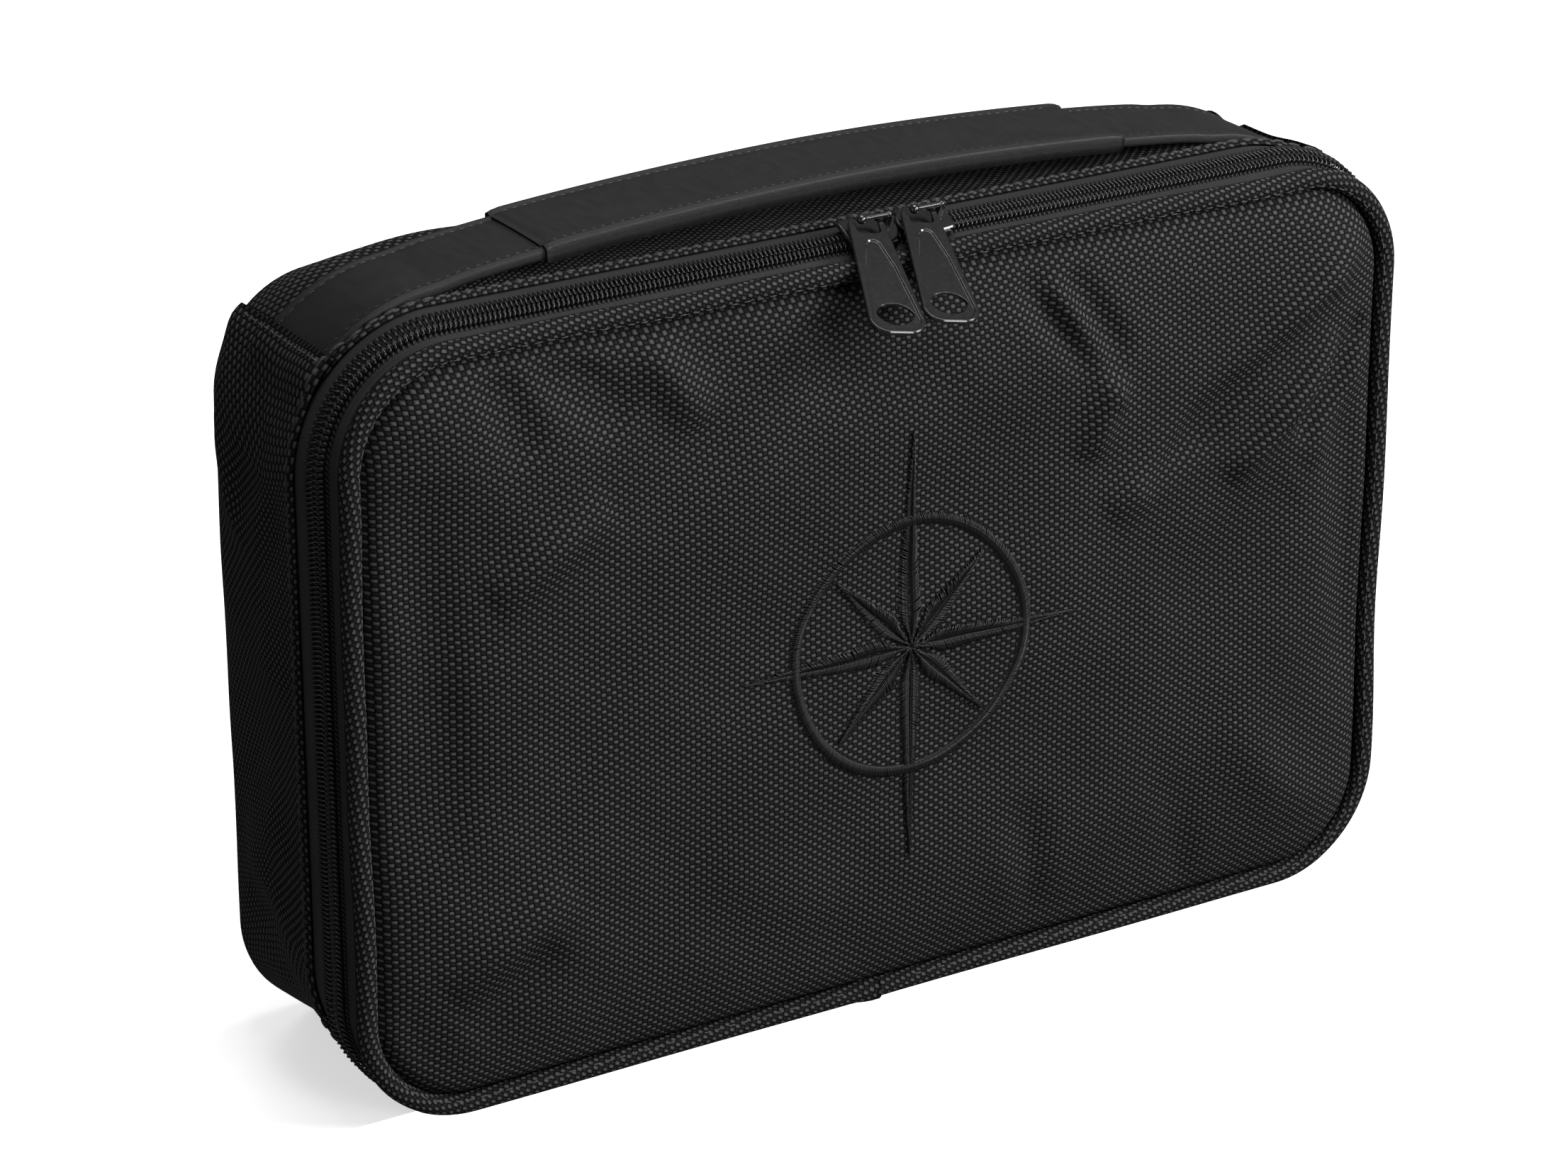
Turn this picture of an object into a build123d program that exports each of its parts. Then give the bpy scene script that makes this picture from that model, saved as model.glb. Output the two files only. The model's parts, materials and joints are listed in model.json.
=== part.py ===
"""Soft padded flight bag: a zipped case that opens like a book on a fabric hinge.

Frame: +Z up, +X along the long side, the lid (front) faces -Y. The origin is the middle of the
base, on the surface that the bag stands on, halfway between the front piping and the back edge.
All sizes are in millimetres.
"""
import os
from math import cos, radians, sin, tan

from build123d import *

# Overall sizes: the loop of piping round the lid, centre to centre, and the case depth.
WIDTH = 295.0
HEIGHT = 193.5
DEPTH = 73.0
CORNER_R = 27.4

# Cloth, padding and boards.
NYLON = 1.2
FOAM = 4.0
LINING = 0.8
BOARD = 1.6
BINDING = 0.8
BINDING_W = 10.0

# Piping: a cord in a bias-cut nylon sleeve with a sewing flange.
PIPING_D = 5.3
PIPING_CORD_D = 3.5
SEAM_ALLOWANCE = 8.6
FLANGE = 0.8
FLANGE_STEP = 0.2

# Zip.
TAPE = 0.9
COIL_H = 1.8
COIL_W = 3.6
CHAIN_GAP = 1.0
CHAIN_BACK = 11.3
TAPE_LAP = 4.0
TAPE_SHOWN = 6.0
TAPE_FROM_PIPING = 0.85
TURN_LAP = 0.1
ZIP_END_Z = 9.5
SKIN_SIDE = 0.3
SKIN_TOP = 0.4
TOP_TILT = 12.0
SIDE_TILT = 12.0
CROWNED_R = 42.0
RAMP = 12.5

# Lid crown.
LID_RISE = 6.0
LID_CROWN_INSET = 34.0
LID_CROWN_R = 30.0
BINDING_LEG = 5.0

# Gusset seams and the fabric hinge.
HINGE_HALF = 105.0
SEAM_ANGLE = 47.0
HINGE_GAP = 0.3

# Handle.
STRAP_W = 29.0
STRAP_T = 2.2
STRAP_Y = 2.5
STRAP_END_ANGLE = 49.0
ARCH_X = 110.0
ARCH_RISE = 7.2
ARCH_POWER = 0.7
GRIP_HALF = 82.0
GRIP_SKIN = 1.0
GRIP_PAD = 0.7

# Sliders and pull tabs.
SLIDER_L = 14.5
SLIDER_W = 10.8
SLIDER_T = 1.0
SLIDER_TILT = 24.0
SLIDER_GAP = 0.5
BLADE_T = 0.4
SLIDER_MEET_X = 6.0
PLATE_EDGE = 0.3
TAIL_SHARE = 0.86
TAIL_R = 1.4
LIP_SHARE = 0.72
LIP_T = 0.9
FIT = 0.3
BAR_R = 0.65
BAR_H = 3.6
BALL_R = 1.3
ELBOW_R = 0.82
FOOT_HALF = (0.7, 0.8)
FOOT_X = 4.3
DOME_X = -3.5
TAB_L = 42.0
TAB_W = 14.0
TAB_HEAD_W = 9.4
TAB_T = 1.0
TAB_OFFSET = 1.35
TAB_BEHIND = 2.5
TAB_SHIFT = 1.9
TAB_EDGE = 0.3
TAB_HEAD_R = 3.55
TAB_TAIL_R = 4.8
TAB_DROP = 24.0
TAB_LEAN = 17.0
TAB_WINDOW = (6.2, 6.0)
TAB_WINDOW_R = 1.3
TAB_CROSSBAR = 0.75
TAB_HOLE = (9.4, 7.6)
TAB_HOLE_UP = 7.0
TAB_HOLE_R = 0.9
TAB_POCKET = 0.3
POCKET_RIM = 1.0
POCKET_R = (1.5, 3.5, 4.6)
POCKET_AT = (11.0, 19.5, 34.0)
POCKET_SLOPE = 50.0

# Embroidered motif.
MOTIF_X = -1.0
MOTIF_R = 46.0
MOTIF_T = 0.5
MOTIF_TALL = 1.2
MOTIF_ARMS = (1.0, 0.2, 0.62, 0.2)
MOTIF_RING = (0.74, 0.69)

# Places that follow from the sizes above.
PIPING_R = PIPING_D / 2
LOOP_TOP = PIPING_R + HEIGHT
FRONT_Y = -DEPTH / 2
BACK_Y = DEPTH / 2
TAPE_Y = FRONT_Y + PIPING_R + TAPE_FROM_PIPING
RAMP_Y = TAPE_Y + RAMP
CHAIN_Y = FRONT_Y + CHAIN_BACK
GUSSET_Y = CHAIN_Y + CHAIN_GAP / 2 + COIL_W + TAPE_SHOWN
CROWN_Y = 4.0
SAME_DEPTH = 0.01
SIDE_RISE = RAMP * tan(radians(SIDE_TILT))
TOP_RISE = RAMP * tan(radians(TOP_TILT))


class Station:
    """The skin's inner face at one depth: how far it stands outside the piping loop."""

    def __init__(self, y, side, top, low, radius):
        self.y, self.side, self.top, self.low, self.radius = y, side, top, low, radius

    def face(self, out=0.0, y=None):
        """Rounded rectangle parallel to the skin and a distance outside it."""
        across = WIDTH + 2 * (self.side + out)
        low = self.low - out
        high = LOOP_TOP + self.top + out
        plane = Plane(origin=(0, self.y if y is None else y, (low + high) / 2),
                      x_dir=(1, 0, 0), z_dir=(0, -1, 0))
        return plane * RectangleRounded(across, high - low, self.radius + out)

    def mix(self, other, share):
        """Station part of the way to another one."""
        blend = [a + (b - a) * share for a, b in zip(self.values(), other.values())]
        return Station(*blend)

    def values(self):
        return (self.y, self.side, self.top, self.low, self.radius)


LOOP = Station(FRONT_Y, 0.0, 0.0, PIPING_R, CORNER_R)
TAPE_START = Station(TAPE_Y, SKIN_SIDE, SKIN_TOP, PIPING_R, CORNER_R)
RAMP_END = Station(RAMP_Y, SKIN_SIDE + SIDE_RISE, SKIN_TOP + TOP_RISE, NYLON,
                   (CORNER_R + CROWNED_R) / 2)
CROWN = Station(CROWN_Y, SKIN_SIDE + SIDE_RISE, SKIN_TOP + TOP_RISE, NYLON, CROWNED_R)
BACK = Station(BACK_Y - NYLON, -NYLON, -NYLON, NYLON, CORNER_R - NYLON)
STATIONS = [TAPE_START, RAMP_END, CROWN, BACK]


def station_at(y):
    """Skin station at any depth, between the named ones."""
    for first, second in zip(STATIONS, STATIONS[1:]):
        if y <= second.y:
            return first.mix(second, (y - first.y) / (second.y - first.y))
    return STATIONS[-1]


def stations_between(y0, y1):
    middle = [s for s in STATIONS if y0 + SAME_DEPTH < s.y < y1 - SAME_DEPTH]
    return [station_at(y0)] + middle + [station_at(y1)]


def skin_loft(y0, y1, out):
    return loft([s.face(out).face() for s in stations_between(y0, y1)], ruled=True)


def skin_band(y0, y1, outer, inner):
    """Closed band that follows the skin from one depth to another."""
    return skin_loft(y0, y1, outer) - skin_loft(y0, y1, inner)


def ring(y0, y1, outer, inner):
    """Flat ring parallel to the piping loop."""
    disc = extrude(LOOP.face(outer, y1), y1 - y0)
    return disc - extrude(LOOP.face(inner, y1), y1 - y0)


def box(x0, x1, y0, y1, z0, z1):
    centre = ((x0 + x1) / 2, (y0 + y1) / 2, (z0 + z1) / 2)
    return Pos(*centre) * Box(x1 - x0, y1 - y0, z1 - z0)


FAR = WIDTH + HEIGHT
ABOVE_ZIP_END = box(-FAR, FAR, -DEPTH, DEPTH, ZIP_END_Z, FAR)
HINGE_CUT = HINGE_HALF + FIT
BESIDE_HINGE = box(-FAR, FAR, -DEPTH, DEPTH, -NYLON, FAR) - box(
    -HINGE_CUT, HINGE_CUT, -DEPTH, DEPTH, -2 * NYLON, HEIGHT / 2)


# ---- case: gusset --------------------------------------------------------------------------


def top_wedge():
    """Region between the two top corner seams, seen from the front."""
    centre_x = WIDTH / 2 + CROWN.side - CROWN.radius
    centre_z = LOOP_TOP + CROWN.top - CROWN.radius
    far_x = centre_x + FAR * sin(radians(SEAM_ANGLE))
    far_z = centre_z + FAR * cos(radians(SEAM_ANGLE))
    points = [(-centre_x, centre_z), (-far_x, far_z), (far_x, far_z), (centre_x, centre_z)]
    plane = Plane(origin=(0, DEPTH, 0), x_dir=(1, 0, 0), z_dir=(0, -1, 0))
    return extrude(plane * make_face(Polyline(points, close=True)), 2 * DEPTH)


def gusset_panels():
    """Nylon gusset in four cut panels: top, left, right and bottom."""
    band = skin_band(GUSSET_Y, BACK.y, NYLON, 0)
    wedge = top_wedge()
    rest = band - wedge
    middle = box(-HINGE_HALF, HINGE_HALF, -DEPTH, DEPTH, -NYLON, LOOP_TOP)
    sides = rest - middle
    return {
        "gusset_top": band & wedge,
        "gusset_left": sides & box(-FAR, 0, -DEPTH, DEPTH, -NYLON, FAR),
        "gusset_right": sides & box(0, FAR, -DEPTH, DEPTH, -NYLON, FAR),
        "gusset_bottom": rest & middle,
    }


def hinge_strip():
    """Strip of nylon that joins the base to the lid and folds just behind the piping."""
    front = FRONT_Y + PIPING_R + HINGE_GAP
    strip = box(-HINGE_HALF, HINGE_HALF, front, GUSSET_Y, 0, NYLON)
    return strip


def gusset_foam():
    return skin_band(GUSSET_Y + TAPE_LAP, BACK.y, 0, -FOAM)


def gusset_lining():
    wall = skin_band(GUSSET_Y + TAPE_LAP, BACK.y, -FOAM, -FOAM - LINING)
    lip = skin_band(GUSSET_Y + TAPE_LAP - LINING, GUSSET_Y + TAPE_LAP, -TAPE, -FOAM - LINING)
    return wall + lip


# ---- case: back ----------------------------------------------------------------------------


def back_panel():
    return extrude(BACK.face(NYLON, BACK_Y), NYLON)


def inside_lining(y0):
    """Outline at the back that clears the gusset lining from depth y0 onwards."""
    radius = station_at(y0).radius
    return Station(BACK.y, BACK.side, BACK.top, BACK.low, radius)


def back_plate(depth_in, thickness):
    """Plate that fits inside the gusset lining, a distance in from the back panel."""
    y1 = BACK.y - depth_in
    outline = inside_lining(y1 - thickness).face(-FOAM - LINING, y1)
    return extrude(outline, thickness)


def back_seam_binding():
    """Folded tape that covers the raw seam between the gusset and the back."""
    y1 = BACK.y - BOARD - FOAM - LINING
    outline = inside_lining(y1 - BINDING_W)
    ring_outer = extrude(outline.face(-FOAM - LINING, y1), BINDING_W)
    return ring_outer - extrude(outline.face(-FOAM - LINING - 2 * BINDING, y1), BINDING_W)


# ---- zip -----------------------------------------------------------------------------------


def body_zip_tape():
    tape = skin_band(CHAIN_Y + CHAIN_GAP / 2, GUSSET_Y + TAPE_LAP, 0, -TAPE)
    return tape & BESIDE_HINGE


def body_zip_coil():
    y0 = CHAIN_Y + CHAIN_GAP / 2
    return skin_band(y0, y0 + COIL_W, COIL_H, 0) & ABOVE_ZIP_END


def lid_zip_tape():
    """Front tape: from the chain to the piping, then turned in for the seam."""
    band = skin_band(TAPE_Y, CHAIN_Y - CHAIN_GAP / 2, 0, -TAPE)
    turned_in = ring(TAPE_Y - TAPE + TURN_LAP, TAPE_Y + TURN_LAP, 0, -SEAM_ALLOWANCE)
    return (band + turned_in) & BESIDE_HINGE


def lid_zip_coil():
    y1 = CHAIN_Y - CHAIN_GAP / 2
    return skin_band(y1 - COIL_W, y1, COIL_H, 0) & ABOVE_ZIP_END


# ---- lid -----------------------------------------------------------------------------------


def piping_loop(radius):
    """Round bar swept round the lid's edge."""
    path = LOOP.face().face().outer_wire()
    start = path @ 0
    section = Plane(origin=start, z_dir=path % 0) * Circle(radius)
    return sweep(section, path)


def piping_cover():
    start = -PIPING_CORD_D / 2 - FLANGE_STEP
    flange = ring(FRONT_Y, FRONT_Y + FLANGE, start, -SEAM_ALLOWANCE - PIPING_R)
    return (piping_loop(PIPING_R) + flange) - piping_loop(PIPING_CORD_D / 2)


def crown_block(y):
    """Everything behind a crowned face whose rim is at depth y."""
    rim = LOOP.face(-PIPING_R, y + DEPTH / 2)
    edge = LOOP.face(-PIPING_R, y)
    half_x = WIDTH - 2 * (PIPING_R + LID_CROWN_INSET)
    half_z = HEIGHT - 2 * (PIPING_R + LID_CROWN_INSET)
    plane = Plane(origin=(0, y - LID_RISE, PIPING_R + HEIGHT / 2), x_dir=(1, 0, 0),
                  z_dir=(0, -1, 0))
    top = plane * RectangleRounded(half_x, half_z, LID_CROWN_R)
    return loft([rim.face(), edge.face(), top.face()], ruled=True)


def crowned_plate(y, thickness, inset):
    """Crowned sheet of one layer of the lid, cut to its own outline."""
    sheet = crown_block(y) - crown_block(y + thickness)
    outline = extrude(LOOP.face(-inset, y + 2 * thickness), 2 * (LID_RISE + thickness))
    return sheet & outline


def lid_binding():
    """Tape folded over the raw edges of the lid's seam, inside the lid."""
    inner = SEAM_ALLOWANCE + PIPING_R + BINDING
    edge = ring(FRONT_Y, TAPE_Y + 2 * BINDING, -inner + BINDING, -inner)
    leg = ring(TAPE_Y + BINDING, TAPE_Y + 2 * BINDING, -inner + BINDING + BINDING_LEG, -inner)
    return edge + leg


def lid_lining():
    return crowned_plate(FRONT_Y + FOAM, LINING, SEAM_ALLOWANCE + PIPING_R + BINDING)


def embroidery():
    """Raised satin-stitch compass star inside a ring."""
    y = FRONT_Y - NYLON - LID_RISE
    plane = Plane(origin=(MOTIF_X, y, PIPING_R + HEIGHT / 2), x_dir=(1, 0, 0),
                  z_dir=(0, -1, 0))
    points = []
    for i in range(16):
        reach = MOTIF_R * MOTIF_ARMS[i % 4] * (MOTIF_TALL if i % 8 == 0 else 1)
        turn = radians(90 - 22.5 * i)
        points.append((reach * cos(turn), reach * sin(turn)))
    star = make_face(Polyline(points, close=True))
    hoop = Circle(MOTIF_R * MOTIF_RING[0]) - Circle(MOTIF_R * MOTIF_RING[1])
    return extrude(plane * (star + hoop), MOTIF_T)


# ---- handle --------------------------------------------------------------------------------


def arch_z(x):
    """Height of the strap's underside over the gusset."""
    rise = cos(radians(90 * min(1.0, abs(x) / ARCH_X)))
    return LOOP_TOP + CROWN.top + NYLON + ARCH_RISE * max(rise, 0.0) ** ARCH_POWER


def arch_slab(half, below, above, y0, y1):
    """Arched slab between two heights over the strap's underside."""
    count = 12
    low, high = [], []
    for i in range(count + 1):
        x = -half + 2 * half * i / count
        low.append((x, arch_z(x) - below))
        high.append((x, arch_z(x) + above))
    outline = Spline(low) + Line(low[-1], high[-1]) + Spline(high[::-1]) + Line(high[0], low[0])
    plane = Plane(origin=(0, y1, 0), x_dir=(1, 0, 0), z_dir=(0, -1, 0))
    return extrude(plane * make_face(outline), y1 - y0)


STRAP_END_X = WIDTH / 2 + CROWN.side - CROWN.radius + (CROWN.radius + NYLON) * sin(
    radians(STRAP_END_ANGLE))
STRAP_Y0 = STRAP_Y - STRAP_W / 2
STRAP_Y1 = STRAP_Y + STRAP_W / 2


def handle_strap():
    """Leather strap, sewn down on the gusset at both ends and arched between them."""
    ends = skin_band(STRAP_Y0, STRAP_Y1, NYLON + STRAP_T, NYLON)
    window = box(-STRAP_END_X, STRAP_END_X, STRAP_Y0, STRAP_Y1, LOOP_TOP - CROWNED_R / 2, FAR)
    middle = box(-ARCH_X + 2, ARCH_X - 2, -DEPTH, DEPTH, 0, FAR)
    arch = arch_slab(ARCH_X, 0, STRAP_T, STRAP_Y0, STRAP_Y1)
    return (ends & window) - middle + arch


def handle_padding():
    slab = arch_slab(GRIP_HALF, 0, STRAP_T + GRIP_PAD, STRAP_Y0, STRAP_Y1)
    return slab - arch_slab(GRIP_HALF + 2, 0, STRAP_T, STRAP_Y0, STRAP_Y1)


def handle_grip():
    """Leather wrap round the strap and its padding."""
    above = STRAP_T + GRIP_PAD
    outer = arch_slab(GRIP_HALF, GRIP_SKIN, above + GRIP_SKIN, STRAP_Y0 - GRIP_SKIN,
                      STRAP_Y1 + GRIP_SKIN)
    return outer - arch_slab(GRIP_HALF + 2, 0, above, STRAP_Y0, STRAP_Y1)


# ---- sliders and pull tabs -----------------------------------------------------------------

CHAIN = station_at(CHAIN_Y)
CHAIN_Z = LOOP_TOP + CHAIN.top
CHAIN_HALF = (CHAIN_GAP / 2 + COIL_W) / cos(radians(TOP_TILT))
SLACK = CHAIN_HALF * sin(radians(SLIDER_TILT - TOP_TILT))
PLATE_Z = COIL_H + SLACK + FIT
BAR_Z = PLATE_Z + SLIDER_T + BAR_H


def zip_plane(x, tilt):
    """Plane on the top run of the chain: local y runs back over the bag, z points outwards."""
    lean = radians(tilt)
    return Plane(origin=(x, CHAIN_Y, CHAIN_Z), x_dir=(1, 0, 0), z_dir=(0, -sin(lean), cos(lean)))


def slider_x(side):
    return SLIDER_MEET_X + side * (max(SLIDER_L, TAB_W + FIT) + SLIDER_GAP) / 2


def slider_body(side):
    """Die-cast plates joined by a guide blade; the nose faces the other slider."""
    plane = zip_plane(slider_x(side), SLIDER_TILT)
    nose = Pos(-side * (SLIDER_L - SLIDER_W) / 2, 0) * Circle(SLIDER_W / 2)
    tail = Pos(side * SLIDER_L / 4, 0) * RectangleRounded(SLIDER_L / 2, SLIDER_W * TAIL_SHARE, TAIL_R)
    top = extrude(Pos(0, 0, PLATE_Z) * make_hull((nose + tail).edges()), SLIDER_T)
    top = chamfer(top.faces().sort_by(Axis.Z)[-1].edges(), PLATE_EDGE)
    lip_y = -CHAIN_HALF - FIT
    lip_half = SLIDER_L * LIP_SHARE / 2
    lip = box(-lip_half, lip_half, lip_y - LIP_T, lip_y, SLACK + FIT, PLATE_Z + SLIDER_T / 2)
    under_z = -TAPE - FIT
    under = box(-SLIDER_L / 2, SLIDER_L / 2, lip_y, BLADE_T / 2, under_z - SLIDER_T, under_z)
    body = plane * (top + lip + under)
    blade_top = (PLATE_Z + SLIDER_T / 2) / cos(radians(SLIDER_TILT))
    blade = box(-SLIDER_L / 4, SLIDER_L / 4, -BLADE_T / 2, BLADE_T / 2, under_z, blade_top)
    return body + zip_plane(slider_x(side), 0) * blade


def slider_crown(side):
    """Bridge that the pull tab hangs on: one foot on the plate and a domed free end."""
    half_x, half_y = FOOT_HALF
    foot = box(FOOT_X - half_x, FOOT_X + half_x, -half_y, half_y, PLATE_Z + SLIDER_T, BAR_Z)
    middle = Pos((FOOT_X + DOME_X) / 2, 0, BAR_Z)
    bar = middle * Rot(0, 90, 0) * Cylinder(BAR_R, FOOT_X - DOME_X)
    elbow = Pos(FOOT_X, 0, BAR_Z) * Sphere(ELBOW_R)
    dome = Pos(DOME_X, 0, BAR_Z) * Sphere(BALL_R)
    return zip_plane(slider_x(side), SLIDER_TILT) * (foot + bar + elbow + dome)


def bar_centre(side):
    lean = radians(SLIDER_TILT)
    return (slider_x(side), CHAIN_Y - BAR_Z * sin(lean), CHAIN_Z + BAR_Z * cos(lean))


def tab_outline(head_w, tail_w, start, end, head_r, tail_r):
    tail_shift = tail_w / 2 - tail_r
    circles = Sketch()
    for side in (-1, 1):
        circles += Pos(side * (head_w / 2 - head_r), -start - head_r) * Circle(head_r)
        circles += Pos(side * tail_shift, -end + tail_r) * Circle(tail_r)
    return make_hull(circles.edges())


def tab_pocket(end):
    """Shallow bullet-shaped field with sloping sides, cut in the face of the tab."""
    circles = Sketch()
    for radius, at in zip(POCKET_R, POCKET_AT):
        circles += Pos(0, -at + TAB_BEHIND) * Circle(radius)
    for side in (-1, 1):
        shift = side * (TAB_W / 2 - TAB_TAIL_R)
        circles += Pos(shift, -end + TAB_TAIL_R) * Circle(TAB_TAIL_R - POCKET_RIM - TAB_EDGE)
    floor = Pos(0, 0, TAB_T - TAB_POCKET) * make_hull(circles.edges())
    return extrude(floor, 2 * TAB_POCKET, taper=-POCKET_SLOPE)


def pull_tab(side):
    """Cast pull tab with a window for the bridge, a dished face and a finger hole."""
    end = TAB_L - TAB_BEHIND
    outline = tab_outline(TAB_HEAD_W, TAB_W, -TAB_BEHIND, end, TAB_HEAD_R, TAB_TAIL_R)
    window_w, window_l = TAB_WINDOW
    window_y = TAB_BEHIND - TAB_CROSSBAR - window_l / 2
    window = Pos(0, window_y) * RectangleRounded(window_w, window_l, TAB_WINDOW_R)
    hole_w, hole_l = TAB_HOLE
    hole_y = -end + TAB_HOLE_UP
    low = ThreePointArc((-hole_w / 2, hole_y), (0, hole_y - hole_l * 0.55), (hole_w / 2, hole_y))
    high = ThreePointArc((hole_w / 2, hole_y), (0, hole_y + hole_l * 0.45), (-hole_w / 2, hole_y))
    hole = make_face(low + high)
    hole = fillet(hole.vertices(), TAB_HOLE_R)
    tab = extrude(outline, TAB_T)
    tab = chamfer(tab.faces().sort_by(Axis.Z)[-1].edges(), TAB_EDGE)
    tab -= extrude(window, 2 * TAB_T, both=True)
    tab -= extrude(hole, 2 * TAB_T, both=True)
    tab -= tab_pocket(end)
    drop = radians(TAB_DROP)
    hang = Plane(origin=bar_centre(side), x_dir=(1, 0, 0), z_dir=(0, -sin(drop), cos(drop)))
    head_shift = Pos(-TAB_SHIFT, 0, -TAB_OFFSET - TAB_T / 2)
    return hang * head_shift * Rot(0, 0, -TAB_LEAN) * tab


def all_nodes():
    seam_inset = SEAM_ALLOWANCE + PIPING_R + BINDING
    nodes = gusset_panels()
    nodes.update({
        "hinge_strip": hinge_strip(),
        "gusset_foam": gusset_foam(),
        "gusset_lining": gusset_lining(),
        "back_panel": back_panel(),
        "back_board": back_plate(0, BOARD),
        "back_foam": back_plate(BOARD, FOAM),
        "back_lining": back_plate(BOARD + FOAM, LINING),
        "back_seam_binding": back_seam_binding(),
        "body_zip_tape": body_zip_tape(),
        "body_zip_coil": body_zip_coil(),
        "handle_strap": handle_strap(),
        "handle_padding": handle_padding(),
        "handle_grip": handle_grip(),
        "front_panel": crowned_plate(FRONT_Y - NYLON, NYLON, PIPING_R),
        "front_foam": crowned_plate(FRONT_Y, FOAM, seam_inset),
        "front_lining": lid_lining(),
        "piping_cover": piping_cover(),
        "piping_cord": piping_loop(PIPING_CORD_D / 2),
        "lid_zip_tape": lid_zip_tape(),
        "lid_zip_coil": lid_zip_coil(),
        "lid_seam_binding": lid_binding(),
        "embroidery": embroidery(),
    })
    for name, side in (("left", -1), ("right", 1)):
        nodes[f"slider_{name}_body"] = slider_body(side)
        nodes[f"slider_{name}_crown"] = slider_crown(side)
        nodes[f"pull_{name}"] = pull_tab(side)
    return nodes


os.makedirs("parts", exist_ok=True)
for node, shape in all_nodes().items():
    export_step(shape, f"parts/{node}.step")
    extent = shape.bounding_box()
    print(node, [round(v, 2) for v in (*extent.min, *extent.max)])
print("bar", [round(v, 3) for v in bar_centre(-1)], [round(v, 3) for v in bar_centre(1)])
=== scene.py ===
"""Soft padded flight bag in black ballistic nylon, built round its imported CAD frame."""
import json
from math import cos, hypot, pi, radians, sin

import bpy
import numpy as np
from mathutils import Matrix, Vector


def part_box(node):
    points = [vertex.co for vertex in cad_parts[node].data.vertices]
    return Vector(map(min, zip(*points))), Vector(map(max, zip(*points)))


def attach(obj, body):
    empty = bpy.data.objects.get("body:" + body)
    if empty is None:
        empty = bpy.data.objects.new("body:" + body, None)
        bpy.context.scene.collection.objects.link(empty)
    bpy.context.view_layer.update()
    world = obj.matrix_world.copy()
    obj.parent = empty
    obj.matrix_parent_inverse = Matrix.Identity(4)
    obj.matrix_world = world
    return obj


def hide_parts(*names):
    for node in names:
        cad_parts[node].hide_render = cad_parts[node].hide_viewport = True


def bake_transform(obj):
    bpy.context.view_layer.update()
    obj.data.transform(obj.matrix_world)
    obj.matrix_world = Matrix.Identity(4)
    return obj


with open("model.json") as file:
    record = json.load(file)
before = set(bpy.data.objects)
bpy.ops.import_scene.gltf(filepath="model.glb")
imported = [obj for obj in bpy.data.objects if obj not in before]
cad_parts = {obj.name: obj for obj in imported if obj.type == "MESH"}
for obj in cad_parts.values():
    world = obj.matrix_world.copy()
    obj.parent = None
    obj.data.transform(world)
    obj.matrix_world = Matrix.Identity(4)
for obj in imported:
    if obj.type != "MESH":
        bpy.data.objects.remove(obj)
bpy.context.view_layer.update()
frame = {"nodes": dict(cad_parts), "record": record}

MM = 0.001

# ---- front of the lid ------------------------------------------------------------------------
# One cut of coarse ballistic nylon over thin foam, sewn to the piping all round. The padding
# crowns it, and the pull of the corner seams leaves long soft folds across it.

PIPING_R = 2.65 * MM
PIPING_LOW, PIPING_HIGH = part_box("piping_cover")
LOOP_HALF = PIPING_HIGH.x - PIPING_R
LOOP_LOW = PIPING_LOW.z + PIPING_R
LOOP_TOP = PIPING_HIGH.z - PIPING_R
LOOP_R = 27.4 * MM
LOOP_Y = PIPING_LOW.y + PIPING_R


def loop_at(place, half, low, high, radius):
    """x, z and outward normal of places on a rounded rectangle, seen from the front.

    A place is a side's number plus a share of that side, from the middle of the bottom round
    to the right, the top and the left: sides 1, 3, 5 and 7 are the corners.
    """
    side = np.clip(np.floor(place), 0, 8)
    share = place - side
    turn = share * pi / 2
    reach, z0, z1 = half - radius, low + radius, high - radius
    s, c = np.sin(turn), np.cos(turn)
    zero, one = np.zeros_like(turn), np.ones_like(turn)
    on = [side == k for k in range(9)]
    x = np.select(on, [share * reach, reach + radius * s, half * one, reach + radius * c,
                       reach * (1 - 2 * share), -reach - radius * s, -half * one,
                       -reach - radius * c, -reach * (1 - share)])
    z = np.select(on, [low * one, z0 - radius * c, z0 + (z1 - z0) * share, z1 + radius * s,
                       high * one, z1 + radius * c, z1 - (z1 - z0) * share, z0 - radius * s,
                       low * one])
    nx = np.select(on, [zero, s, one, c, zero, -s, -one, -c, zero])
    nz = np.select(on, [-one, -c, zero, s, one, c, zero, -s, -one])
    return x, z, nx, nz


STRAIGHT_X = LOOP_HALF - LOOP_R
STRAIGHT_Z = LOOP_TOP - LOOP_LOW - 2 * LOOP_R
CORNER = LOOP_R * pi / 2
SIDE_LENGTHS = np.array([STRAIGHT_X, CORNER, STRAIGHT_Z, CORNER, 2 * STRAIGHT_X, CORNER,
                         STRAIGHT_Z, CORNER, STRAIGHT_X])
SIDE_STARTS = np.concatenate([[0], np.cumsum(SIDE_LENGTHS)])


def travel(place):
    """Length along the piping loop up to a place."""
    side = np.clip(np.floor(place), 0, 8).astype(int)
    return SIDE_STARTS[side] + (place - side) * SIDE_LENGTHS[side]


def place_at(length):
    """Place on the piping loop after a length along it."""
    side = np.clip(np.searchsorted(SIDE_STARTS, length, "right") - 1, 0, 8)
    return side + (length - SIDE_STARTS[side]) / SIDE_LENGTHS[side]


def places(first, last, step):
    """Places from first to last, about a step of cloth apart, with every side's end among them."""
    marks = []
    for side, length in enumerate(SIDE_LENGTHS):
        count = max(4, int(np.ceil(length / step)))
        marks.append(side + np.arange(count) / count)
    marks = np.concatenate(marks)
    margin = 0.004
    inner = marks[(marks > first + margin) & (marks < last - margin)]
    return np.concatenate([[first], inner, [last]])


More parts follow.
